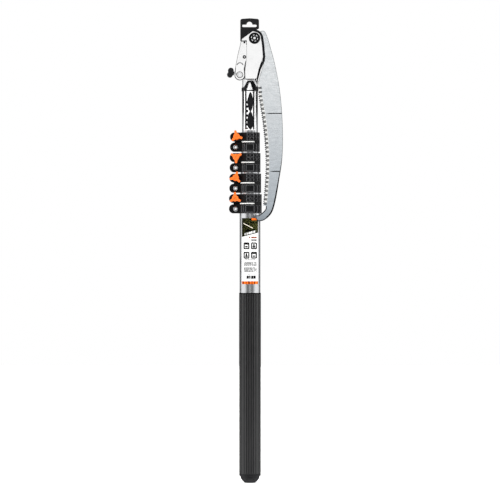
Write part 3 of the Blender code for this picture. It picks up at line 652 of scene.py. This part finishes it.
def label_look():
    """A white sticker with generic blocks: a picture of a garden, icons, rows of dashes and bars, and an
    orange foot. Heights are counted down from the top of the sticker."""
    graph = Look("printed label", 0.45, gloss=0.0)
    low, high = limits("pole_label")
    black = (0.002, 0.002, 0.002)
    orange = (0.88, 0.16, 0.015)
    x = graph.x
    down = graph.math("SUBTRACT", high.z, graph.z)

    def area(xs, downs):
        return graph.times(graph.between(x, *xs), graph.between(down, *downs))

    def broken(mask, pitch, share, between_rows=0.02):
        """A mask broken up along X, as a line of print is, and differently from row to row."""
        runs = graph.noise(pitch, (1, 0.02, between_rows), 1.0)
        return graph.times(mask, graph.ramp(runs, share - 0.02, share + 0.02))

    slanted = graph.math("ADD", down, graph.times(x, 0.27))
    falling = graph.math("SUBTRACT", down, graph.times(x, 0.52))
    leaves = graph.noise(0.25, detail=4.0, rough=0.6)
    veins = graph.times(graph.between(leaves, 0.485, 0.515, 0.01), graph.ramp(x, -16, 12, 0.2, 1.0))
    pole = graph.times(graph.between(falling, 17.8, 19.4), graph.between(x, -14, 6))
    emblem = graph.times(graph.between(slanted, 29.5, 34.0), graph.between(x, -13, 13))
    picture = graph.paint(
        black,
        (veins, (0.20, 0.21, 0.06)),
        (graph.ramp(leaves, 0.58, 0.72), (0.008, 0.016, 0.003)),
        (pole, (0.85, 0.78, 0.65)),
        (broken(emblem, 0.55, 0.5), (0.85, 0.85, 0.85)),
    )
    layers = [
        (graph.between(slanted, -20, 36), picture),
        (area((3.5, 14), (-2, 4.6)), orange),
        (broken(area((-2.5, 14.3), (40.0, 43.2)), 0.7, 0.36), (0.22, 0.04, 0.01)),
        (broken(area((0, 14.3), (45.8, 48.8)), 0.7, 0.36), (0.01, 0.01, 0.01)),
    ]
    for row, top in enumerate((52.2, 72.4)):
        for column, left in enumerate((-13.8, 2.4)):
            box = graph.rounded_box(x, down, (left + 6.2, top + 7.4), (6.2, 7.2), 2.4)
            spot = graph.rounded_box(x, down, (left + 6.2, top + 9.4), (3.0, 1.6), 1.5)
            bar = area((left + 4.4, left + 7.6), (top + 3.2, top + 11.6))
            if row == column:
                bar = area((left + 2.6, left + 9.8), (top + 2.4, top + 5.0))
            layers.append((graph.between(box, -2.6, 0.2), black))
            layers.append((graph.most(bar, graph.between(spot, -9, 0)), black))
    rows = graph.between(graph.math("FRACT", graph.math("DIVIDE", down, 4.3)), 0.12, 0.78, 0.05)
    lines = graph.most(
        area((-13.6, 14.3), (94, 102.5)),
        area((-13.6, 14.3), (105.5, 117)),
        area((-12.0, 12.0), (88.2, 90.0)),
        area((-8.0, 14.3), (119.8, 121.6)),
    )
    foot = graph.between(down, high.z - low.z - 6.2, 200)
    layers += [
        (broken(graph.times(lines, rows), 0.65, 0.4, 0.6), (0.004, 0.004, 0.004)),
        (broken(area((-9.4, 12.4), (123.6, 130.4)), 0.42, 0.46), black),
        (foot, orange),
        (broken(foot, 0.5, 0.46), (0.20, 0.028, 0.006)),
    ]
    graph.set("Base Color", graph.paint((0.80, 0.80, 0.80), *layers))
    graph.bump(graph.noise(0.15), 0.01)
    return graph.material


# Pole


def make_tubes(looks):
    for number in TUBES:
        low, high = limits(f"tube_{number}")
        outer = high.x
        inner = outer - TUBE_WALL
        lip = 0.35
        profile = [(outer - lip, low.z), (outer, low.z + lip), (outer, high.z - lip), (outer - lip, high.z)]
        profile += [(inner + lip, high.z), (inner, high.z - lip), (inner, low.z + lip), (inner + lip, low.z)]
        look = looks["tube_print"] if number == 5 else looks["tube"]
        piece(f"tube_{number}_drawn", turned(profile), look, f"tube_{number}")
        if number > 1:
            keep_node(f"tube_{number}_plug", looks["black"], 0.3)


def make_end_cap(looks):
    """The tapered cap: a small flat end, a shouldered cone with grooves, and a rim under the grip."""
    high = limits("end_cap")[1]
    rim = high.x
    cone = [(11.6, 0.0), (12.4, 0.5), (14.2, 2.0), (16.3, 4.2)]
    cone += [(18.2, 6.5), (19.6, 8.8), (20.5, 11.4), (20.8, 13.6)]
    profile = [(0, 0.0)] + curve_through(cone, 4)
    profile += [(20.8, 14.3), (rim - 0.5, 14.5), (rim, 15.0), (rim, 19.1), (rim - 0.5, 19.6), (20.9, 19.6)]
    profile += [(20.9, high.z), (17.4, high.z), (17.4, 12.0), (0, 12.0)]
    grooves = []
    for x, y in arc((0, 0), 1, 22.5, 382.5, END_CAP_GROOVES)[:-1]:
        along_cone = (x * 0.5, y * 0.5, 0.87)
        foot = (x * 19.4, y * 19.4, 8.0)
        grooves.append(rod(1.3, -2, 9, along_cone, foot, 12))
    piece("end_cap_moulded", turned(profile), looks["black"], "end_cap", cut=grooves, bevel=0.25)


def make_grip(looks):
    """A rubber sleeve with rounded flutes and a plain bead at each end."""
    low, high = limits("grip_sleeve")
    total = high.z - low.z
    levels = [(0, 0.45), (0.5, 0.12), (1.0, 0.0), (GRIP_BEAD, 0.0), (GRIP_BEAD + 0.8, 0.0)]
    levels += [(total - height, level) for height, level in reversed(levels)]
    points = GRIP_FLUTES * FLUTE_STEPS
    loops = []
    for height, level in levels:
        loop = []
        fluted = GRIP_BEAD < height < total - GRIP_BEAD
        for k in range(points):
            angle = 2 * math.pi * k / points
            wave = 0.5 - 0.5 * math.cos(GRIP_FLUTES * angle)
            radius = high.x - (FLUTE_DEPTH * wave**3 if fluted else level)
            loop.append((radius * math.cos(angle), radius * math.sin(angle), low.z + height))
        loops.append(loop)
    bore = rod(GRIP_BORE, 0, high.z + 50, UP, segments=FINE)
    piece("grip_sleeve_moulded", stacked(loops), looks["grip"], "grip_sleeve", cut=[bore])


def make_label(looks):
    low, high = limits("pole_label")
    shape = sector(LABEL_RADIUS, LABEL_RADIUS + LABEL_THICKNESS, -50, 50, low.z, high.z)
    piece("pole_label_printed", shape, looks["label"], "pole_label")


# Clamps


def ear_outline(low, high, reach, inner_end):
    """Two round-ended ears above one another, with a narrower neck between them."""
    slot_top = high - 19.0
    slot_bottom = high - 22.0
    neck = -reach + 9.6
    ear = 9.2
    corners = [
        (inner_end, high - 0.25, 0),
        (-reach, high - 0.25, ear),
        (-reach, slot_top, ear),
        (neck, slot_top, 0),
        (neck, slot_bottom, 0),
        (-reach, slot_bottom, ear),
        (-reach, low + 0.25, ear),
        (inner_end, low + 0.25, 0),
    ]
    return rounded(corners, steps=12)


def collar_pockets(outer, low, high):
    """The moulded recesses: two rows of windows on the upper band, upright slots on the lower one."""
    deep = outer - 1.3
    shallow = outer - 0.7
    beyond = outer + 0.1
    draft = 0.9
    pockets = []
    for row_high in (high - 1.6, high - 9.8):
        for start, end in ((-19, 0), (3, 22), (30, 43), (50, 68)):
            pockets.append(sector(deep, beyond, start, end, row_high - 7.0, row_high, draft))
    for start, end in ((-48, -39), (-36, -27), (30, 43), (50, 68)):
        pockets.append(sector(deep, beyond, start, end, low + 2.0, low + 17.0, draft))
    pockets.append(sector(shallow, beyond, -23, 22, low + 2.0, low + 17.0, draft))
    for start in range(100, 260, 26):
        pockets.append(sector(deep, beyond, start, start + 20, low + 2.5, low + 17.5, draft))
        pockets.append(sector(deep, beyond, start, start + 20, high - 17.5, high - 2.5, draft))
    return pockets


def make_clamp(number, looks):
    node = f"clamp_{number}_collar"
    low, high = limits(node)
    outer = high.x
    lower = limits(f"tube_{number}")[1].x + BORE_GAP
    upper = limits(f"tube_{number + 1}")[1].x + BORE_GAP
    step = limits(f"tube_{number}")[1].z + 0.3
    lip = high.z - 1.9
    knob = middle(f"clamp_{number}_knob_nut")
    screw = middle(f"clamp_{number}_fixing_nut")
    knob.y = 0
    screw.y = 0
    bore = [(0, low.z - 1), (lower, low.z - 1), (lower, step), (upper + 0.6, step), (upper + 0.6, lip)]
    bore += [(upper, lip), (upper, high.z + 1), (0, high.z + 1)]
    cuts = [
        turned(bore),
        block((-60, -upper + 4), (-1.5, 1.5), (low.z - 2, high.z + 2)),
        block((-60, 9.7), (-40, 0.4), (high.z - 22, high.z - 19)),
        rod(3.3, -20, 20, centre=knob),
        rod(5.9, 6.5, 20, centre=knob, segments=6),
        rod(2.8, -20, 20, centre=screw),
        rod(5.0, 7.0, 20, centre=screw, segments=6),
        turned(sleeve(7.4, 8.3, -10, -8.9), BACKWARD, screw, 48),
        *collar_pockets(outer, low.z, high.z),
    ]
    chamfer = 0.5
    ring = [(0, low.z), (outer - chamfer, low.z), (outer, low.z + chamfer)]
    ring += [(outer, high.z - chamfer), (outer - chamfer, high.z), (0, high.z)]
    ears = plate(ear_outline(low.z, high.z, -low.x, -lower - 0.35), 9.5, -9.5)
    collar = piece(node + "_moulded", turned(ring), looks["collar"], node, joined=[ears], cut=cuts)

    def highlit_slopes(centre, normal):
        """The sloping sides of the pockets, away from the bore and the ears, which get a lighter grey as a painted
        highlight.
        """
        outward = Vector((centre.x, centre.y, 0))
        sloping = 0.3 < abs(normal.dot(outward.normalized())) < 0.93
        return sloping and outward.length > upper + 1.2 and centre.x > -upper

    # Painted highlight on the sloping sides of the pockets
    second_look(collar, looks["collar_rim"], highlit_slopes)
    liner = turned(sleeve(upper, upper + 0.6, high.z - 25, high.z - 2))
    split = block((-60, 0), (-3, 3), (low.z, high.z + 5))
    # The liner's glow is painted light
    piece(f"clamp_{number}_liner_moulded", liner, looks["white"], node, cut=[split], replaces=False)
    make_knob(number, knob, looks)
    make_fixing_screw(number, screw, looks)
    keep_node(f"clamp_{number}_knob_nut", looks["zinc"], 0.35)
    keep_node(f"clamp_{number}_fixing_nut", looks["zinc"], 0.3)
    keep_node(f"clamp_{number}_stud", looks["zinc"], 0.3)


def make_knob(number, centre, looks):
    """A three-armed knob with filleted crotches, a domed front and a round hub behind."""
    name = f"clamp_{number}_knob"
    crotch = (6.6, 3.0, 5.0)
    tip = (13.2, 2.1, 1.3)
    corners = []
    for arm in range(3):
        direction = math.radians(KNOB_ANGLES[number - 1] + 120 * arm)
        along = Vector((math.cos(direction), math.sin(direction)))
        across = Vector((-along.y, along.x))
        for side, (reach, half, radius) in ((-1, crotch), (-1, tip), (1, tip), (1, crotch)):
            point = along * reach + across * half * side
            corners.append((centre.x + point.x, centre.z + point.y, radius))
    outline = rounded(corners, steps=6)
    front = limits(name)[0].y
    back = front + 7.0
    loops = []
    levels = ((back, 0.95), (back - 0.6, 1.0), (front + 1.2, 1.0), (front + 0.4, 0.95), (front, 0.86))
    for y, scale in levels:
        loops.append([(mixed(centre.x, x, scale), y, mixed(centre.z, z, scale)) for x, z in outline])
    hub = [(0, -19.6), (6.6, -19.6), (7.0, -19.0), (7.0, -10.2), (6.6, -9.8), (0, -9.8)]
    dimple = [(0, front - 1), (2.6, front - 1), (2.6, front + 0.5), (0, front + 0.9)]
    piece(
        name + "_moulded",
        stacked(loops),
        looks["orange"],
        name,
        joined=[turned(hub, BACKWARD, centre, 48)],
        cut=[turned(dimple, BACKWARD, centre, 32), rod(3.2, -5, -19.4, centre=centre)],
    )


def make_fixing_screw(number, centre, looks):
    """A domed screw head with a hexagon socket, on its shank."""
    name = f"clamp_{number}_fixing_screw"
    seat = -9.8
    end = seat - limits(name)[1].y
    head = curve_through([(5.25, 1.4), (5.1, 2.2), (4.6, 2.9), (3.9, 3.2)], 4)
    profile = [(0, end), (2.5, end), (2.5, 0), (4.9, 0), (5.25, 0.35), *head, (0, 3.2)]
    front = (centre.x, seat, centre.z)
    shape = turned(profile, FORWARD, front, 48)
    socket = rod(1.9, 1.4, 5, FORWARD, front, segments=6)
    piece(name + "_turned", shape, looks["zinc"], name, cut=[socket])


# Neck


def make_ferrule(looks):
    """The ring at the neck: low behind, with an arched tongue and a window in front."""
    low, high = limits("neck_ferrule")
    outer = high.x
    inner = outer - FERRULE_WALL
    top = high.z + 1
    ring = [(inner, low.z), (outer - 0.3, low.z), (outer, low.z + 0.3), (outer, top), (inner, top)]
    tongue = [(-30, 851, 0), (-13.6, 851, 1.5), (-6.2, 865.2, 5)]
    tongue += [(7.6, 865.2, 5), (14.0, 853.7, 1), (30, 853.7, 0)]
    window = [(-8.0, 845.5, 1), (6.0, 845.5, 1), (0.9, 861.4, 1), (-2.1, 861.4, 1)]
    cuts = [
        plate(rounded(tongue + [(30, 880, 0), (-30, 880, 0)]), 0, -40),
        block((-30, 30), (-0.5, 40), (851.3, 881)),
        plate(rounded(window, 4), -5, -45),
    ]
    piece("neck_ferrule_moulded", turned(ring), looks["gloss"], "neck_ferrule", cut=cuts)


def make_decal(looks):
    """The printed ornament: the same half outline on either side of its middle."""
    low, high = limits("neck_decal")
    half_width = [(0.8, 841), (3.0, 837), (4.4, 832), (6.6, 824), (7.0, 817), (5.4, 812), (3.6, 804)]
    half_width += [(1.3, 800), (3.4, 796), (5.2, 789), (6.8, 782), (6.9, 774), (6.0, 768)]
    half_width += [(2.8, 763), (0.4, 760)]
    side = curve_through(half_width, 5)
    centre = (low.x + high.x) / 2
    outline = [(centre + half, z) for half, z in side] + [(centre - half, z) for half, z in reversed(side)]
    shell = turned(sleeve(DECAL_RADIUS, DECAL_RADIUS + DECAL_THICKNESS, low.z, high.z))
    keep = plate(outline, 1, -40)
    piece("neck_decal_printed", shell, looks["decal"], "neck_decal", kept=[keep])


# Saw head


def make_blade(looks):
    """The blade. Alternate teeth have their cutting edges ground from the front and from the back."""
    low, high = limits("saw_blade")
    pivot = middle("blade_bush")
    places = spaced(curve_through(CUTTING_EDGE, 120), TOOTH_COUNT * TOOTH_STEPS)

    def at(along, inward):
        """A point so many teeth along the cutting edge and so many millimetres in from the tips."""
        point, way = places[round(along * TOOTH_STEPS)]
        return (point.x + way.y * inward, point.y - way.x * inward)

    tips_and_gullets = [place[0] for place in places[:: TOOTH_STEPS // 2]]

    def on_teeth(x, z):
        """Whether a place lies in the band along the cutting edge that the teeth are ground on."""
        return any(math.hypot(x - point.x, z - point.y) < GROUND_BAND for point in tips_and_gullets)

    edge = [at(step / 2, GULLET_DEPTH if step % 2 else 0) for step in range(2 * TOOTH_COUNT, -1, -1)]
    ground_back = bmesh.new()
    ground_front = bmesh.new()
    for tooth in range(1, TOOTH_COUNT):
        for way in (-1, 1):
            if tooth % 2:
                grind_tooth(ground_front, at, tooth, way, low.y, -1)
            else:
                grind_tooth(ground_back, at, tooth, way, high.y, 1)

    def edge_width(x, z):
        """A bevel along the back of the blade, broader towards the tip, and none along the teeth."""
        if on_teeth(x, z) and CUTTING_EDGE[0][1] - 1 < z < CUTTING_EDGE[-1][1] + 1:
            return 0.0
        if z < 600 and x < 36:
            return 2.0
        return 0.8 + 2.4 * min(1.0, max(0.0, (710 - z) / 90))

    shape = chamfered(body_outline(pivot) + edge, high.y, low.y, edge_width)
    cuts = [through_hole(6.15, pivot, 48), ground_front, ground_back]
    blade = piece("saw_blade_ground", shape, looks["blade"], "saw_blade", cut=cuts, crease=FLAT)

    def dark(x, z):
        """The back of the blade towards the tip and the hook, painted black as painted dark reflection, and the
        ground flanks of the teeth, painted black as painted shade.
        """
        on_back = z < 745 and (x > 36 or z < 606)
        return on_back or (on_teeth(x, z) and z > CUTTING_EDGE[0][1] - 1)

    # Painted dark reflection and painted shade on the chosen bevel faces and tooth flanks
    darken_bevel(blade, looks["black_steel"], dark)


def grind_tooth(mesh, at, tooth, way, face, outward):
    """Adds to mesh the wedge that a grinding wheel takes off one flank of a tooth. A corner is told as
    (teeth from the tip, millimetres in from the tips, teeth from the ridge that the flank slopes from)."""
    root = 0.495
    point = 0.03
    ridge = root - FLANK_WIDTH
    beyond = -0.6
    clear = 0.4
    corners = [(root, GROUND_BAND, root - ridge), (ridge, GROUND_BAND, 0), (point, beyond, 0)]
    corners.append((root, beyond, root - point))
    lower = []
    upper = []
    for along, inward, from_ridge in corners:
        depth = FLANK_SLOPE * TOOTH_PITCH * from_ridge
        x, z = at(tooth + along * way, inward)
        lower.append(mesh.verts.new((x, face - outward * depth, z)))
        upper.append(mesh.verts.new((x, face + outward * clear, z)))
    mesh.faces.new(lower)
    mesh.faces.new(upper)
    for k in range(4):
        after = (k + 1) % 4
        mesh.faces.new((lower[k], lower[after], upper[after], upper[k]))


def body_outline(pivot):
    """The blade's outline apart from its teeth, from the one at the hook round to the one at the heel."""
    hook = [CUTTING_EDGE[0], (33.4, 596.6), (34.0, 592.5), (33.0, 588.6), (27.7, 582.6), (18.9, 575.8)]
    tip = [(12.2, 576.0), (12.3, 568.5), (17.0, 562.6)]
    back = [(31.0, 566.0), (46.5, 581.0), (55.0, 608.0), (62.6, 652.0), (69.4, 702.0), (70.0, 770.0)]
    back += [(64.5, 840.0), (53.8, 899.0), (41.5, 945.0), (34.4, 966.0), (29.0, 972.4)]
    hub = [arc(pivot.xz, 21.0, 48, 48, 1)[0]] + arc(pivot.xz, 17.5, 54, 250, 40)
    heel = [(29.2, 901.0), (22.6, 880.0), (17.4, 860.0), CUTTING_EDGE[-1]]
    return curve_through(hook, 3) + tip[:-1] + curve_through([tip[-1], *back], 8) + hub + heel


def make_cover_plate(looks):
    """The polished front plate, with its front edge rolled back; the roll along the right side and over the top is
    painted black as painted dark reflection.
    """
    low, high = limits("cover_plate")
    pivot = middle("pivot_bolt")
    at = (pivot.x, pivot.z)
    outline = [(x, z, 0) for x, z in arc(at, 18.7, 5, 108, 40)]
    outline += [(-17.4, 953.9, 1.6), (-17.9, 951.0, 0.5), (-7.5, 951.0, 0.5), (-7.5, 916.0, 3)]
    outline += [(-11.0, 885.0, 3), (-10.4, 868.6, 1), (10.2, 868.6, 4), (14.6, 856.6, 0.3)]
    outline += [(15.8, 857.0, 0.3), (17.4, 867.0, 3), (23.1, 888.4, 6), (31.6, 906.8, 4), (32.9, 916.0, 4)]
    outline.append((30.7, 942.0, 20))

    def edge_width(x, z):
        """Broad along the right side and over the top, narrow elsewhere, none at the two small corners."""
        if z < 860 or x < -15:
            return 0.0
        if x > pivot.x:
            return 3.6 + 1.6 * min(1.0, (z - 860) / 40)
        if z > 953:
            return 1.6 + 3.0 * max(0.0, (x + 8) / (pivot.x + 8))
        return 0.6

    shape = chamfered(rounded(outline, 8), high.y, low.y, edge_width)
    name = "cover_plate_polished"
    cut = [through_hole(4.15, pivot)]
    cover = piece(name, shape, looks["polished"], "cover_plate", cut=cut, crease=FLAT)
    # Painted dark reflection on the bevel along the right side and over the top
    darken_bevel(cover, looks["black_steel"], lambda x, z: x > pivot.x or z > 953)


def make_pivot(looks):
    """The black disc and the bolt with a six-lobed recess over the blade's pivot."""
    black = looks["black_steel"]
    low, high = limits("pivot_disc")
    at = middle("pivot_bolt")
    centre = (at.x, 0, at.z)
    rim = (high.x - low.x) / 2
    disc = [(4.3, 31.6), (rim - 0.3, 31.6), (rim, 31.9), (rim, 33.2), (rim - 0.9, 34.1)]
    disc += [(9.6, 34.2), (9.3, 33.8), (8.4, 33.8), (8.1, 34.2), (4.3, 34.2)]
    notches = []
    for x, z in arc((at.x, at.z), rim + 0.35, 0, 360, 24)[:-1]:
        notches.append(through_hole(0.75, Vector((x, 0, z)), 10))
    shape = turned(disc, FORWARD, centre)
    piece("pivot_disc_turned", shape, black, "pivot_disc", cut=notches)
    low, high = limits("pivot_bolt")
    head = curve_through([(7.6, 35.3), (7.2, 36.1), (5.6, 36.9), (3.6, 37.1)], 4)
    bolt = [(0, -high.y), (3.6, -high.y), (4.0, 12.9), (4.0, 34.5), (7.3, 34.5), (7.6, 34.8)]
    floor = -35.0
    lobes = []
    for k in range(48):
        angle = 2 * math.pi * k / 48
        reach = 2.75 + 0.45 * math.cos(6 * angle)
        lobes.append((at.x + reach * math.cos(angle), at.z + reach * math.sin(angle)))
    star = plate(lobes, floor, floor - 10)
    shape = turned([*bolt, *head, (0, 37.1)], FORWARD, centre, 64)
    bolt = piece("pivot_bolt_turned", shape, black, "pivot_bolt", cut=[star])

    def bright(place, normal):
        """The floor of the recess, and six patches round the head, given bright zinc as painted highlights."""
        off = place - at
        around = math.atan2(off.z, off.x) / math.pi
        highlight_patch = place.y < -35.4 and off.xz.length > 5.6 and int(6 * (around + 1)) % 2
        return highlight_patch or (abs(place.y - floor) < 0.1 and normal.y < -0.9)

    # Painted highlights: bright zinc on the recess floor and on six patches of the black bolt
    second_look(bolt, looks["zinc"], bright)


def make_lever(looks):
    """The lock lever: a pressed strip with a raised arc and rim, and a round boss for the barrel nut."""
    low, high = limits("lock_lever")
    pin = middle("lever_pin")
    nut = middle("barrel_nut")
    pawl = middle("pawl_pin")
    back = high.y
    front = back - 2.0
    top = [(-19.4, 949.4, 0.8), (-22.4, 937.0, 8), (-25.8, 923.0, 8), (-29.0, 907.0, 8), (-31.6, 893.0, 8)]
    foot = [(x, z, 0) for x, z in arc((-22.0, 877.0), 11.3, 178, 365, 40)]
    inner = [(-12.0, 890.0, 4), (-9.5, 905.0, 3), (-4.5, 914.0, 2), (-4.5, 935.0, 4), (-7.6, 944.0, 2)]
    inner += [(-6.9, 948.3, 0.4), (-9.4, 949.6, 0.4)]

    def edge_width(x, z):
        """A rolled edge, broader round the foot."""
        return 1.5 if z < 893 else 0.8

    def dark(x, z):
        """The rolled edge of the foot and of the left side, the rim of the boss, and the raised arc, painted black
        as painted dark reflection.
        """
        left_side = -31.6 + 0.218 * (z - 893) + 1.5
        on_arc = z > 896.6 and 6.0 < math.hypot(x + 21.5, z - 896.6) < 7.7
        return z < 893 or x < left_side or on_arc

    shape = chamfered(rounded(top + foot + inner), back, front, edge_width)
    boss = [(0, -26.5), (7.0, -26.5), (7.0, low.y + 0.4), (5.6, low.y), (0, low.y)]
    centre = (nut.x, middle("thumb_stud").y, nut.z)
    section = [(6.0, front), (6.8, front + 0.25), (7.6, front), (7.6, front - 1), (6.0, front - 1)]
    loops = []
    for along, up in arc((0, 0), 1, 15, 165, 24):
        loops.append([(-21.5 + along * reach, y, 896.6 + up * reach) for reach, y in section])
    cuts = [
        through_hole(2.35, pin),
        through_hole(1.7, pawl),
        through_hole(4.2, nut, 48),
        rod(2.8, -7.2, 20, thumb_way(), centre),
        stacked(loops),
    ]
    lever = piece(
        "lock_lever_pressed",
        shape,
        looks["polished"],
        "lock_lever",
        joined=[turned(boss, BACKWARD, (nut.x, 0, nut.z), 64)],
        cut=cuts,
        crease=FLAT,
    )
    # Painted dark reflection on the chosen bevel faces
    darken_bevel(lever, looks["black_steel"], dark)
    make_lever_pin(pin, looks)
    keep_node("barrel_nut", looks["zinc"], 0.3)
    keep_node("pawl_pin", looks["black_steel"], 0.2)


def make_lever_pin(pin, looks):
    """A rivet with a bright domed middle in a dark ring; the ring is painted black on the zinc as painted dark
    reflection.
    """
    at = Vector((pin.x, 0, pin.z))
    rivet = [(0, 17.9), (2.8, 17.9), (3.2, 18.3), (3.2, 19.25), (2.2, 19.25), (2.2, 28.2), (3.6, 28.2)]
    rivet += [(3.8, 28.4), (3.8, 29.2), (3.4, 29.5), (1.5, 29.5), (1.4, 29.3), (1.2, 29.6), (0, 29.6)]
    shape = turned([(radius, -height) for radius, height in rivet], BACKWARD, at, 48)
    rivet = piece("lever_pin_riveted", shape, looks["zinc"], "lever_pin")

    def ring(place, normal):
        return (place - at).xz.length > 1.25 and place.y < -28

    # Painted dark reflection: the outer ring of the rivet in black
    second_look(rivet, looks["black_steel"], ring)


def thumb_way():
    """The thumb screw's axis, from its tip to its knob."""
    turn = next(joint for joint in frame["joints"] if joint["name"] == "thumb_screw_turn")
    return Vector(turn["axis"])


def make_thumb_screw(looks):
    way = thumb_way()
    across = Vector((way.z, 0, -way.x))
    nut = middle("barrel_nut")
    centre = Vector((nut.x, middle("thumb_stud").y, nut.z))
    loops = []
    rings = 28
    around = 40
    for ring in range(1, rings):
        rise = math.cos(math.pi * ring / rings)
        spread = math.sin(math.pi * ring / rings)
        waist = 1 - 0.28 * (1 - min(1, abs(rise) * 1.6)) ** 2
        loop = []
        for k in range(around):
            angle = 2 * math.pi * k / around
            along = math.copysign(abs(math.cos(angle)) ** 0.8, math.cos(angle)) * spread**0.75 * 6.9 * waist
            deep = math.copysign(abs(math.sin(angle)) ** 0.8, math.sin(angle)) * spread**0.75 * 4.4
            loop.append(centre + way * (20.7 + along) + across * (10.9 * rise) + Vector(FORWARD) * deep)
        loops.append(loop)
    neck = [(0, 12.3), (3.7, 12.3), (4.0, 12.8), (4.6, 15.0), (4.8, 20.0), (0, 20.0)]
    piece(
        "thumb_knob_moulded",
        stacked(loops),
        looks["black"],
        "thumb_knob",
        joined=[turned(neck, way, centre, 40)],
        cut=[rod(2.65, 0, 19.5, way, centre)],
    )
    keep_node("thumb_stud", looks["zinc"], 0.2)


def make_hang_tab(looks):
    low, high = limits("hang_tab")
    outline = [(-20.9, 998.2, 4.2), (-20.9, 952.0, 3), (-14.5, 937.0, 3), (-1.0, 937.0, 3), (-1.0, 968.0, 2)]
    outline += [(19.4, 977.5, 1.5), (19.4, 998.2, 4.2), (-0.7, 999.8, 60)]
    slot = arc((-14.2, 983.4), 2.6, 90, 270, 12) + arc((11.8, 983.4), 2.6, -90, 90, 12)
    slot += arc((-1.2, 986.0), 6.2, 0, 180, 24)
    screw = middle("hang_tab_screw")
    cuts = [plate(slot, 0, -30), through_hole(1.9, screw)]
    shape = plate(rounded(outline), high.y, low.y)
    piece("hang_tab_moulded", shape, looks["black"], "hang_tab", cut=cuts, bevel=0.3)
    keep_node("hang_tab_screw", looks["zinc"])


def make_spring(looks):
    low, high = limits("lever_spring")
    centre = middle("lever_spring")
    wire = 0.45
    coil = (high.x - low.x) / 2 - wire
    steps = 150
    loops = []
    for step in range(steps + 1):
        angle = 2 * math.pi * 2.5 * step / steps
        y = low.y + wire + (high.y - low.y - 2 * wire) * step / steps
        outward = Vector((math.cos(angle), 0, math.sin(angle)))
        at = Vector((centre.x, y, centre.z)) + outward * coil
        circle = arc((0, 0), wire, 0, 360, 12)[:-1]
        loops.append([at + outward * a + Vector(BACKWARD) * b for a, b in circle])
    piece("lever_spring_wound", stacked(loops), looks["zinc"], "lever_spring")


def make_small_parts(looks):
    for node in ("blade_bush", "blade_washer_back", "blade_washer_front", "pivot_nut"):
        keep_node(node, looks["zinc"], 0.15)
    for node in ("cover_screw_lower", "cover_screw_upper"):
        keep_node(node, looks["zinc"])
    keep_node("plate_spacer", looks["polished"], 0.3)
    keep_node("head_casting", looks["cast"], 0.5)


# Studio


def make_world():
    """Surroundings told by the angle from the camera's side: a small bright card beside the camera, black
    flags round it, a ring of bright banks to every side, and black cloth behind what the camera sees."""
    world = bpy.data.worlds.new("studio")
    bpy.context.scene.world = world
    world.use_nodes = True
    graph = Graph(world.node_tree)
    way = graph.add("ShaderNodeTexCoord").outputs["Generated"]
    to_camera = graph.math("MULTIPLY", graph.add("ShaderNodeSeparateXYZ", ins={0: way}).outputs[1], -1.0)
    turn = graph.math("DIVIDE", graph.math("ARCCOSINE", to_camera), math.pi)
    ramp = graph.add("ShaderNodeValToRGB", ins={0: turn})
    stops = ramp.color_ramp.elements
    stops.remove(stops[1])
    for index, (degrees, bright) in enumerate(STUDIO_TONES):
        stop = stops[0] if index == 0 else stops.new(degrees / 180)
        stop.position = degrees / 180
        stop.color = (bright, bright, bright, 1)
    seen = graph.add("ShaderNodeLightPath").outputs["Is Camera Ray"]
    colour = graph.mix(seen, ramp.outputs[0], (1.0, 1.0, 1.0))
    graph.tree.links.new(colour, graph.tree.nodes["Background"].inputs[0])


def make_floor():
    """A plain white floor, far larger than the view."""
    shape = block((-6000, 6000), (-6000, 6000), (-60, -0.6))
    floor = as_object("studio_floor", shape)
    floor.data.transform(Matrix.Scale(MM, 4))
    graph = Look("white floor", 0.9)
    speckle = graph.noise(0.02)
    graph.set("Base Color", graph.mix(speckle, (0.93, 0.93, 0.93), (0.96, 0.96, 0.96)))
    graph.glow((1, 1, 1), 0.55)
    floor.data.materials.append(graph.material)
    floor.visible_glossy = False


def add_fill(name, place, target, size, power):
    """A large soft lamp that lights the matt colours and isn't mirrored in the metal."""
    light = bpy.data.lights.new(name, "AREA")
    light.shape = "RECTANGLE"
    light.size, light.size_y = size
    light.energy = power
    lamp = bpy.data.objects.new(name, light)
    lamp.location = place
    lamp.rotation_euler = (Vector(target) - Vector(place)).to_track_quat("-Z", "Y").to_euler()
    lamp.visible_glossy = False
    bpy.context.scene.collection.objects.link(lamp)


def make_studio():
    make_world()
    make_floor()
    middle_height = (cad_box[0][2] + cad_box[1][2]) / 2
    target = (0, 0, middle_height)
    add_fill("fill_left", (-1.7, -2.0, middle_height + 0.5), target, (1.2, 1.8), 4)
    add_fill("fill_right", (1.5, -2.2, middle_height + 0.2), target, (1.2, 1.8), 1)


def make_camera():
    """A long lens square on to the front, a little above the middle of the saw's height."""
    lens = bpy.data.cameras.new("front")
    lens.sensor_width = SENSOR
    lens.lens = LENS
    lens.clip_end = 50
    distance = VIEW_HEIGHT * LENS / SENSOR
    camera = bpy.data.objects.new("front", lens)
    camera.location = (0.0, -distance - FRONT_PLANE, VIEW_MIDDLE)
    camera.rotation_euler = (math.radians(90), 0, 0)
    bpy.context.scene.collection.objects.link(camera)
    bpy.context.scene.camera = camera


def main():
    bpy.context.scene.view_settings.view_transform = "Standard"
    looks = make_looks()
    make_tubes(looks)
    make_end_cap(looks)
    make_grip(looks)
    make_label(looks)
    for number in CLAMPS:
        make_clamp(number, looks)
    make_ferrule(looks)
    make_decal(looks)
    make_blade(looks)
    make_cover_plate(looks)
    make_pivot(looks)
    make_lever(looks)
    make_thumb_screw(looks)
    make_hang_tab(looks)
    make_spring(looks)
    make_small_parts(looks)
    make_studio()
    make_camera()


main()
